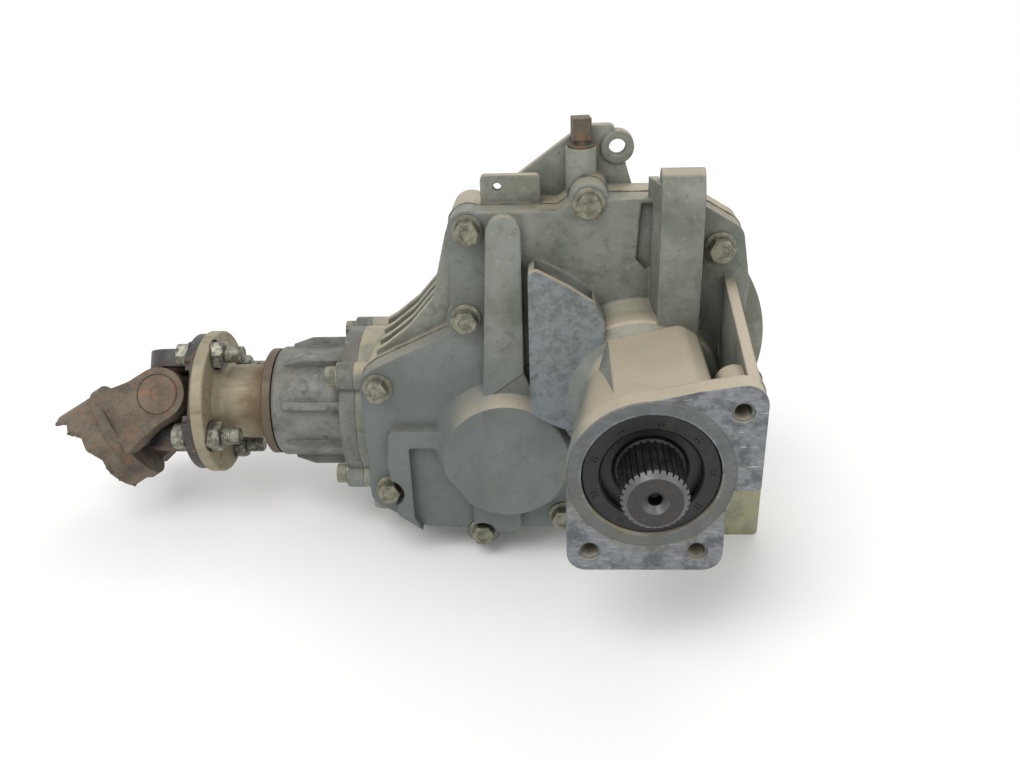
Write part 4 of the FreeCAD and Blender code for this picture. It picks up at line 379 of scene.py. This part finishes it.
def black_paint():
    """Chipped black paint over rusty forged steel."""
    finish = Finish("painted_yoke")
    chip = finish.step(finish.grain(7, 7.0, 0.72), 0.56, 0.62)
    worn = finish.both(finish.edges(1.4), finish.step(finish.grain(4, 5.0), 0.42, 0.55))
    bare = finish.math("MAXIMUM", chip, worn)
    rust = finish.mix(finish.step(finish.grain(4, 5.0, 0.7), 0.4, 0.65),
                      paint(112, 84, 58), paint(142, 104, 70))
    black = finish.mix(finish.step(finish.grain(18, 3.0), 0.4, 0.7), paint(44, 44, 46), paint(66, 64, 60))
    colour = finish.mix(bare, black, rust)
    # painted shade: corners and recesses are darkened almost to black
    colour = finish.mix(finish.math("MULTIPLY", finish.nook(8), 0.7), colour, paint(24, 22, 20))
    normal = finish.bump(bare, 0.12, finish.rounded(1.2))
    normal = finish.bump(finish.grain(2.0, 5.0), 0.25, normal)
    return finish.done(colour, finish.blend(bare, 0.42, 0.8), 0.1, normal)


def bolt_finish(name, light, dark, rust_share):
    """Zinc plate dulled to olive, with painted shade in its recesses."""
    finish = Finish(name)
    colour = finish.mix(finish.step(finish.grain(5, 5.0, 0.65), 0.38, 0.64), light, dark)
    rust = finish.both(finish.step(finish.grain(3, 6.0, 0.7, shift=(8, 1, 3)), 0.52, 0.68), rust_share)
    colour = finish.mix(rust, colour, paint(120, 90, 54))
    colour = finish.mix(finish.both(finish.edges(0.5), 0.5), colour, paint(180, 178, 162))
    # painted shade: recesses round the bolts are darkened to a dark olive brown
    colour = finish.mix(finish.math("MULTIPLY", finish.nook(6), 0.85), colour, paint(52, 48, 38))
    normal = finish.bump(finish.grain(0.9, 4.0), 0.08, finish.rounded(0.45))
    roughness = finish.blend(finish.step(finish.grain(2.5, 4.0), 0.4, 0.7), 0.4, 0.6)
    return finish.done(colour, roughness, 0.45, normal)


def rubber_finish():
    finish = Finish("seal_rubber")
    dusty = finish.both(finish.step(finish.grain(6, 5.0), 0.5, 0.75), 0.25)
    colour = finish.mix(dusty, paint(8, 8, 9), paint(70, 68, 62))
    normal = finish.bump(finish.grain(0.8, 3.0), 0.05, finish.rounded(0.3))
    return finish.done(colour, finish.blend(dusty, 0.45, 0.8), 0.0, normal)


def spline_finish():
    """Dark hardened steel, with a grey turned chamfer in front and rings on its end."""
    finish = Finish("spline_steel")
    base = finish.mix(finish.step(finish.grain(8, 4.0), 0.4, 0.65), paint(36, 36, 38), paint(62, 61, 60))
    colour = finish.mix(finish.both(finish.edges(0.35), 0.5), base, paint(120, 120, 118))
    chamfer = finish.both(finish.step(finish.y, -0.2046, -0.2052), finish.step(finish.facing_y, -0.99, -0.9))
    colour = finish.mix(finish.math("MULTIPLY", chamfer, 0.65), colour, paint(104, 104, 104))
    end = finish.both(finish.step(finish.y, -0.2076, -0.2079), finish.step(finish.facing_y, -0.9, -0.99))
    around = finish.ring_distance("Y")
    rings = finish.math("SINE", finish.math("MULTIPLY", around, 9000.0))
    face = finish.mix(finish.step(rings, -1.0, 1.0), paint(48, 48, 50), paint(72, 71, 71))
    face = finish.mix(finish.both(finish.step(finish.grain(4, 5.0), 0.5, 0.66), 0.5), face, paint(86, 68, 54))
    colour = finish.mix(end, colour, face)
    hub = finish.both(finish.step(around, 0.0045, 0.0036), end)
    colour = finish.mix(hub, colour, paint(24, 24, 26))
    normal = finish.bump(finish.both(rings, end), 0.05, finish.rounded(0.3))
    normal = finish.bump(finish.grain(1.0, 4.0), 0.04, normal)
    return finish.done(colour, 0.42, 0.6, normal)


def ground_steel(name, light, dark, roughness, metallic=0.85):
    """Machined steel with fine turning marks and an oil film."""
    finish = Finish(name)
    marks = finish.grain(0.7, 4.0, 0.7, squeeze=(1, 4, 1))
    colour = finish.mix(finish.step(marks, 0.3, 0.7), light, dark)
    film = finish.both(finish.step(finish.grain(10, 4.0), 0.5, 0.7), 0.4)
    colour = finish.mix(film, colour, paint(120, 104, 70))
    normal = finish.bump(marks, 0.03, finish.rounded(0.4))
    return finish.done(colour, finish.blend(film, roughness, roughness * 0.7), metallic, normal)


def sealing_compound():
    finish = Finish("gasket")
    colour = finish.mix(finish.step(finish.grain(4, 5.0), 0.4, 0.65), paint(66, 65, 60), paint(108, 102, 86))
    normal = finish.bump(finish.grain(1.5, 4.0), 0.3)
    roughness = finish.blend(finish.step(finish.grain(3, 3.0), 0.4, 0.6), 0.5, 0.75)
    return finish.done(colour, roughness, 0.0, normal)


FINISHES = {
    "case_casting": case_casting(),
    "cover_casting": cover_casting(),
    "housing_casting": housing_casting(),
    "gasket": sealing_compound(),
    "zinc_bolts": bolt_finish("zinc_bolts", paint(134, 133, 116), paint(98, 97, 84), 0.22),
    "dull_bolts": bolt_finish("dull_bolts", paint(150, 150, 134), paint(78, 76, 68), 0.4),
    "rusty_plug": rust_steel("rusty_plug", paint(96, 88, 74), paint(76, 67, 54), paint(134, 124, 102),
                             paint(146, 98, 52), 0.4),
    "seal_rubber": rubber_finish(),
    "spline_steel": spline_finish(),
    "gear_steel": ground_steel("gear_steel", paint(168, 168, 166), paint(128, 128, 128), 0.35),
    "bush_bronze": ground_steel("bush_bronze", paint(178, 140, 84), paint(146, 110, 60), 0.4),
    "rusty_flange": companion_finish(),
    "painted_yoke": black_paint(),
    "rusty_yoke": rust_steel("rusty_yoke", paint(108, 98, 83), paint(84, 75, 64), paint(142, 126, 104),
                             paint(138, 92, 58), 0.5),
    "cap_steel": rust_steel("cap_steel", paint(112, 97, 81), paint(94, 81, 69), paint(158, 142, 120),
                            paint(160, 104, 62), 0.45, 1.4),
    "bearing_steel": ground_steel("bearing_steel", paint(206, 206, 204), paint(178, 178, 176), 0.2, 0.95),
}


def dress_nodes():
    for part in frame["record"]["subparts"]:
        shape = nodes[part["node"]]
        shape.data.materials.clear()
        shape.data.materials.append(FINISHES[part["material_slot"]])


# Helpers for the pieces that are modelled here


def piece_from(bm, name, slot, body):
    """Store a mesh as one piece of the object that rides on one body."""
    bmesh.ops.recalc_face_normals(bm, faces=bm.faces)
    mesh = bpy.data.meshes.new(name)
    bm.to_mesh(mesh)
    bm.free()
    mesh.materials.append(FINISHES[slot])
    for face in mesh.polygons:
        face.use_smooth = True
    thing = bpy.data.objects.new(name, mesh)
    bpy.context.scene.collection.objects.link(thing)
    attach(thing, body)
    return thing


def sweep(bm, points, radius_at, sides=8, closed=True):
    """A tube along points. radius_at(index) gives its radius at each point."""
    count = len(points)
    rings = []
    for index, point in enumerate(points):
        before = points[index - 1] if closed or index else points[0]
        after = points[(index + 1) % count] if closed or index < count - 1 else points[-1]
        ahead = (after - before).normalized()
        side = ahead.cross(Vector((0, 1, 0)))
        if side.length < 0.1:
            side = ahead.cross(Vector((0, 0, 1)))
        side.normalize()
        other = ahead.cross(side)
        radius = radius_at(index)
        ring = []
        for corner in range(sides):
            angle = 2 * math.pi * corner / sides
            spoke = side * radius * math.cos(angle) + other * radius * math.sin(angle)
            ring.append(bm.verts.new(point + spoke))
        rings.append(ring)
    pairs = zip(rings, rings[1:] + rings[:1]) if closed else zip(rings, rings[1:])
    for first, second in pairs:
        for corner in range(sides):
            following = (corner + 1) % sides
            bm.faces.new((first[corner], first[following], second[following], second[corner]))
    if not closed:
        bm.faces.new(rings[0])
        bm.faces.new(reversed(rings[-1]))


def rim_of(node, station):
    """The outermost loop of a flat node's face at one place along Y, as ordered corners."""
    mesh = nodes[node].data
    uses = {}
    places = {}
    for face in mesh.polygons:
        corners = [mesh.vertices[index].co for index in face.vertices]
        if any(abs(corner.y - station) > 0.05 * MM for corner in corners):
            continue
        keys = [(round(corner.x * 1e5), round(corner.z * 1e5)) for corner in corners]
        for key, corner in zip(keys, corners):
            places[key] = corner
        for start, end in zip(keys, keys[1:] + keys[:1]):
            edge = tuple(sorted((start, end)))
            uses[edge] = uses.get(edge, 0) + 1
    neighbours = {}
    for (start, end), times in uses.items():
        if times == 1:
            neighbours.setdefault(start, []).append(end)
            neighbours.setdefault(end, []).append(start)
    start = min(neighbours)
    loop = [start]
    previous = None
    here = start
    while True:
        onward = [key for key in neighbours[here] if key != previous]
        previous, here = here, onward[0]
        if here == start:
            break
        loop.append(here)
    return [places[key].copy() for key in loop]


def evenly(points, gap):
    """The same closed line with corners about one gap apart."""
    result = []
    for start, end in zip(points, points[1:] + points[:1]):
        length = (end - start).length
        count = max(1, round(length / gap))
        result += [start.lerp(end, index / count) for index in range(count)]
    spaced = [result[0]]
    for point in result[1:]:
        if (point - spaced[-1]).length > 0.45 * gap:
            spaced.append(point)
    return spaced


def lathe(bm, profile, origin, axis, sides=40):
    """Turn a closed profile of (radius, station) corners in metres about an axis."""
    axis = axis.normalized()
    side = axis.orthogonal().normalized()
    other = axis.cross(side)
    rings = []
    for radius, station in profile:
        rings.append([bm.verts.new(origin + axis * station + side * radius * math.cos(2 * math.pi * k / sides)
                                   + other * radius * math.sin(2 * math.pi * k / sides))
                      for k in range(sides)])
    for first, second in zip(rings, rings[1:] + rings[:1]):
        for corner in range(sides):
            following = (corner + 1) % sides
            bm.faces.new((first[corner], first[following], second[following], second[corner]))


# Pieces


def sealant_bead():
    """Sealing compound squeezed out all round between the case and its cover."""
    bm = bmesh.new()
    rim = evenly(rim_of("cover_gasket", GASKET_FACE), 1.6 * MM)
    for point in rim:
        point.y = SPLIT

    def radius(index):
        lump = noise.noise(rim[index] * 160) * 0.35 + noise.noise(rim[index] * 520) * 0.25
        return (0.62 + lump) * MM

    sweep(bm, rim, radius)
    return piece_from(bm, "sealant_bead", "gasket", "case")


def weld_bead():
    """The rippled weld between the yoke's collar and the shaft's tube."""
    station = 0.0402
    ring_radius = 0.0322
    count = 150
    side = SECOND_TRUNNION
    other = TUBE_AXIS.cross(side)
    points = []
    for index in range(count):
        angle = 2 * math.pi * index / count
        spoke = side * math.cos(angle) + other * math.sin(angle)
        points.append(CROSS + TUBE_AXIS * station + spoke * ring_radius)

    def radius(index):
        return (1.5 + 0.28 * math.sin(index * 2.1) + 0.5 * noise.noise(points[index] * 220)) * MM

    bm = bmesh.new()
    sweep(bm, points, radius, 10)
    return piece_from(bm, "weld_bead", "rusty_yoke", "propshaft")


def trunnion_seals():
    """Rubber rings on the cross, just inside each cap."""
    profile = [(8.1 * MM, 15.8 * MM), (11.4 * MM, 15.8 * MM), (12.3 * MM, 16.4 * MM), (12.3 * MM, 17.5 * MM),
               (11.0 * MM, 17.8 * MM), (8.1 * MM, 17.8 * MM)]
    bm = bmesh.new()
    for axis in (FIRST_TRUNNION, -FIRST_TRUNNION, SECOND_TRUNNION, -SECOND_TRUNNION):
        lathe(bm, profile, CROSS, axis, 32)
    return piece_from(bm, "trunnion_seals", "seal_rubber", "cross")


def new_tree(name, sizes):
    """A geometry node tree with named number inputs and one geometry output."""
    tree = bpy.data.node_groups.new(name, "GeometryNodeTree")
    tree.interface.new_socket("Geometry", in_out="OUTPUT", socket_type="NodeSocketGeometry")
    for size in sizes:
        kind = "NodeSocketInt" if size in ("Count", "Turns") else "NodeSocketFloat"
        tree.interface.new_socket(size, in_out="INPUT", socket_type=kind)
    return tree, tree.nodes.new("NodeGroupInput"), tree.nodes.new("NodeGroupOutput")


def end_tree(tree, output, geometry, finish):
    realize = tree.nodes.new("GeometryNodeRealizeInstances")
    colour = tree.nodes.new("GeometryNodeSetMaterial")
    colour.inputs["Material"].default_value = finish
    tree.links.new(geometry, realize.inputs[0])
    tree.links.new(realize.outputs[0], colour.inputs[0])
    tree.links.new(colour.outputs[0], output.inputs[0])


def grown(tree, sizes):
    """Run a geometry node tree with its sizes, and give the plain mesh that it makes."""
    holder = bpy.data.objects.new(tree.name, bpy.data.meshes.new(tree.name))
    bpy.context.scene.collection.objects.link(holder)
    modifier = holder.modifiers.new(tree.name, "NODES")
    modifier.node_group = tree
    for item in tree.interface.items_tree:
        if item.item_type == "SOCKET" and item.in_out == "INPUT":
            modifier[item.identifier] = sizes[item.name]
    evaluated = holder.evaluated_get(bpy.context.evaluated_depsgraph_get())
    mesh = bpy.data.meshes.new_from_object(evaluated)
    bpy.data.objects.remove(holder)
    return mesh


def thread_tree(finish):
    """A helical thread ridge: Radius, Pitch, Turns and Ridge set it."""
    tree, inputs, output = new_tree("thread", ["Radius", "Pitch", "Turns", "Ridge"])
    spiral = tree.nodes.new("GeometryNodeCurveSpiral")
    spiral.inputs["Resolution"].default_value = 28
    height = tree.nodes.new("ShaderNodeMath")
    height.operation = "MULTIPLY"
    ridge = tree.nodes.new("GeometryNodeCurvePrimitiveCircle")
    ridge.inputs["Resolution"].default_value = 4
    tube = tree.nodes.new("GeometryNodeCurveToMesh")
    tube.inputs["Fill Caps"].default_value = True
    link = tree.links.new
    link(inputs.outputs["Turns"], spiral.inputs["Rotations"])
    link(inputs.outputs["Radius"], spiral.inputs["Start Radius"])
    link(inputs.outputs["Radius"], spiral.inputs["End Radius"])
    link(inputs.outputs["Turns"], height.inputs[0])
    link(inputs.outputs["Pitch"], height.inputs[1])
    link(height.outputs[0], spiral.inputs["Height"])
    link(inputs.outputs["Ridge"], ridge.inputs["Radius"])
    link(spiral.outputs[0], tube.inputs["Curve"])
    link(ridge.outputs[0], tube.inputs["Profile Curve"])
    end_tree(tree, output, tube.outputs[0], finish)
    return tree


def joined(name, slot, body, parts):
    """One piece from (mesh, place) pairs."""
    bm = bmesh.new()
    for mesh, place in parts:
        copy = mesh.copy()
        copy.transform(place)
        bm.from_mesh(copy)
        bpy.data.meshes.remove(copy)
    return piece_from(bm, name, slot, body)


def facing(axis, origin):
    """A frame whose Z runs along an axis."""
    turn = axis.to_track_quat("Z", "Y").to_matrix().to_4x4()
    return Matrix.Translation(origin) @ turn


def bolt_threads():
    """Real thread ridges on the ends of the four flange bolts, past their nuts."""
    finish = FINISHES["dull_bolts"]
    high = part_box("flange_bolts")[1]
    nut_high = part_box("flange_nuts")[1]
    pitch = 1.5 * MM
    free = high.x - nut_high.x
    turns = max(1, int(free / pitch))
    sizes = {"Radius": 4.85 * MM, "Pitch": pitch, "Turns": turns, "Ridge": 0.62 * MM}
    mesh = grown(thread_tree(finish), sizes)
    places = []
    for quarter in range(4):
        angle = JOINT_TURN + math.radians(45 + 90 * quarter)
        origin = Vector((high.x - turns * pitch - 0.8 * MM, PINION_Y + YOKE_BOLT_REACH * math.sin(angle),
                         PINION_Z + YOKE_BOLT_REACH * math.cos(angle)))
        places.append((mesh, facing(Vector((1, 0, 0)), origin)))
    return joined("bolt_threads", "dull_bolts", "pinion", places)


def marks_tree(finish):
    """Short raised bars spread round a circle: Count, Radius, Length, Width and High set them."""
    tree, inputs, output = new_tree("ring_marks", ["Count", "Radius", "Length", "Width", "High"])
    link = tree.links.new
    ring = tree.nodes.new("GeometryNodeMeshCircle")
    link(inputs.outputs["Count"], ring.inputs["Vertices"])
    link(inputs.outputs["Radius"], ring.inputs["Radius"])
    size = tree.nodes.new("ShaderNodeCombineXYZ")
    for axis, name in zip("XYZ", ("Width", "Length", "High")):
        link(inputs.outputs[name], size.inputs[axis])
    bar = tree.nodes.new("GeometryNodeMeshCube")
    link(size.outputs[0], bar.inputs["Size"])
    outward = tree.nodes.new("GeometryNodeInputPosition")
    align = tree.nodes.new("FunctionNodeAlignRotationToVector")
    align.axis = "X"
    align.pivot_axis = "Z"
    link(outward.outputs[0], align.inputs["Vector"])
    spread = tree.nodes.new("GeometryNodeInstanceOnPoints")
    link(ring.outputs[0], spread.inputs["Points"])
    link(bar.outputs[0], spread.inputs["Instance"])
    link(align.outputs[0], spread.inputs["Rotation"])
    end_tree(tree, output, spread.outputs[0], finish)
    return tree


def seal_marks():
    """Small paired raised bars moulded on the face of the output seal."""
    finish = FINISHES["seal_rubber"]
    tree = marks_tree(finish)
    sizes = {"Count": 9, "Radius": 29.4 * MM, "Length": 0.7 * MM, "Width": 3.0 * MM, "High": 0.5 * MM}
    mesh = grown(tree, sizes)
    front = facing(Vector((0, -1, 0)), Vector((0, SEAL_FACE, 0)))
    pair = front @ Matrix.Rotation(math.radians(4.0), 4, "Z")
    return joined("seal_marks", "seal_rubber", "case", [(mesh, front), (mesh, pair)])


def torn_edge():
    """Blobs of slag along the tube's flame-cut end."""
    maker = random.Random(7)
    mesh = nodes["prop_tube"].data
    rim = {}
    for vertex in mesh.vertices:
        offset = vertex.co - CROSS
        station = offset.dot(TUBE_AXIS)
        if station < 0.046:
            continue
        spoke = offset - TUBE_AXIS * station
        angle = round(math.degrees(math.atan2(spoke.dot(FIRST_TRUNNION), spoke.dot(SECOND_TRUNNION))) / 3)
        if angle not in rim or rim[angle][0] < station:
            rim[angle] = (station, vertex.co.copy())
    bm = bmesh.new()
    for _, place in sorted(rim.items()):
        if maker.random() < 0.35:
            continue
        size = maker.uniform(0.7, 1.5) * MM
        blob = bmesh.ops.create_icosphere(bm, subdivisions=2, radius=size)
        for vertex in blob["verts"]:
            vertex.co *= 1 + 0.3 * noise.noise(vertex.co * 900 + place[1] * 300)
            vertex.co += place[1] - TUBE_AXIS * 0.8 * MM
    return piece_from(bm, "torn_edge", "rusty_yoke", "propshaft")


def make_pieces():
    sealant_bead()
    weld_bead()
    trunnion_seals()
    bolt_threads()
    seal_marks()
    torn_edge()


# Camera, floor and lights


def photo_camera():
    """The photograph's viewpoint, worked out from the case's own square faces."""
    azimuth = math.radians(3.179)
    elevation = math.radians(26.972)
    roll = math.radians(-1.897)
    focal_pixels = 989.993
    ahead = Vector((-math.sin(azimuth) * math.cos(elevation), math.cos(azimuth) * math.cos(elevation),
                    -math.sin(elevation)))
    level = Vector((math.cos(azimuth), math.sin(azimuth), 0))
    upright = level.cross(ahead)
    right = level * math.cos(roll) + upright * math.sin(roll)
    up = upright * math.cos(roll) - level * math.sin(roll)
    lens = bpy.data.cameras.new("photo_camera")
    lens.sensor_width = 36.0
    lens.lens = focal_pixels * lens.sensor_width / PHOTO_WIDTH
    lens.clip_start = 0.01
    camera = bpy.data.objects.new("photo_camera", lens)
    bpy.context.scene.collection.objects.link(camera)
    turn = Matrix((right, up, -ahead)).transposed().to_4x4()
    camera.matrix_world = Matrix.Translation(Vector((-0.0442, -0.5914, 0.2599))) @ turn
    bpy.context.scene.camera = camera


def pale_floor():
    half = 6.0
    level = cad_box[0].z - 0.1 * MM
    mesh = bpy.data.meshes.new("floor")
    mesh.from_pydata([(-half, -half, level), (half, -half, level), (half, half, level), (-half, half, level)],
                     [], [(0, 1, 2, 3)])
    floor = bpy.data.objects.new("floor", mesh)
    bpy.context.scene.collection.objects.link(floor)
    finish = Finish("floor_paint")
    cloud = finish.step(finish.grain(900, 2.0), 0.3, 0.7)
    colour = finish.mix(cloud, paint(243, 243, 242), paint(247, 247, 246))
    surface = finish.add("ShaderNodeBsdfPrincipled", Base_Color=colour, Roughness=0.9)
    # away from the object the floor fades into the plain white backdrop
    away = finish.step(finish.ring_distance("Z", -0.1, -0.05), 0.55, 1.3)
    seen = finish.add("ShaderNodeLightPath").outputs["Is Camera Ray"]
    white = finish.add("ShaderNodeEmission", Color=(1.0, 1.0, 1.0, 1.0), Strength=1.0)
    faded = finish.add("ShaderNodeMixShader", Fac=finish.both(away, seen))
    finish.feed(faded.inputs[1], surface.outputs[0])
    finish.feed(faded.inputs[2], white.outputs[0])
    finish.add("ShaderNodeOutputMaterial", Surface=faded.outputs[0])
    mesh.materials.append(finish.material)


def soft_light(name, place, aim, size, watts):
    light = bpy.data.lights.new(name, "AREA")
    light.size = size
    light.energy = watts
    lamp = bpy.data.objects.new(name, light)
    bpy.context.scene.collection.objects.link(lamp)
    lamp.matrix_world = facing(Vector(place) - Vector(aim), Vector(place))


def studio_light():
    middle = (-0.08, -0.08, 0.0)
    soft_light("key_light", (-0.9, -1.1, 1.9), middle, 1.4, 26)
    soft_light("fill_light", (1.5, -1.2, 1.0), middle, 1.6, 10)
    soft_light("back_light", (0.3, 1.6, 1.5), middle, 1.5, 12)
    world = bpy.data.worlds.new("studio")
    bpy.context.scene.world = world
    world.use_nodes = True
    tree = world.node_tree
    background = tree.nodes["Background"]
    background.inputs["Color"].default_value = (1, 1, 1, 1)
    path = tree.nodes.new("ShaderNodeLightPath")
    shown = tree.nodes.new("ShaderNodeMath")
    shown.operation = "MAXIMUM"
    tree.links.new(path.outputs["Is Camera Ray"], shown.inputs[0])
    tree.links.new(path.outputs["Is Glossy Ray"], shown.inputs[1])
    level = tree.nodes.new("ShaderNodeMapRange")
    level.inputs["To Min"].default_value = 0.7
    level.inputs["To Max"].default_value = 1.0
    tree.links.new(shown.outputs[0], level.inputs["Value"])
    tree.links.new(level.outputs["Result"], background.inputs["Strength"])
    bpy.context.scene.view_settings.view_transform = "Standard"


dress_nodes()
make_pieces()
photo_camera()
pale_floor()
studio_light()
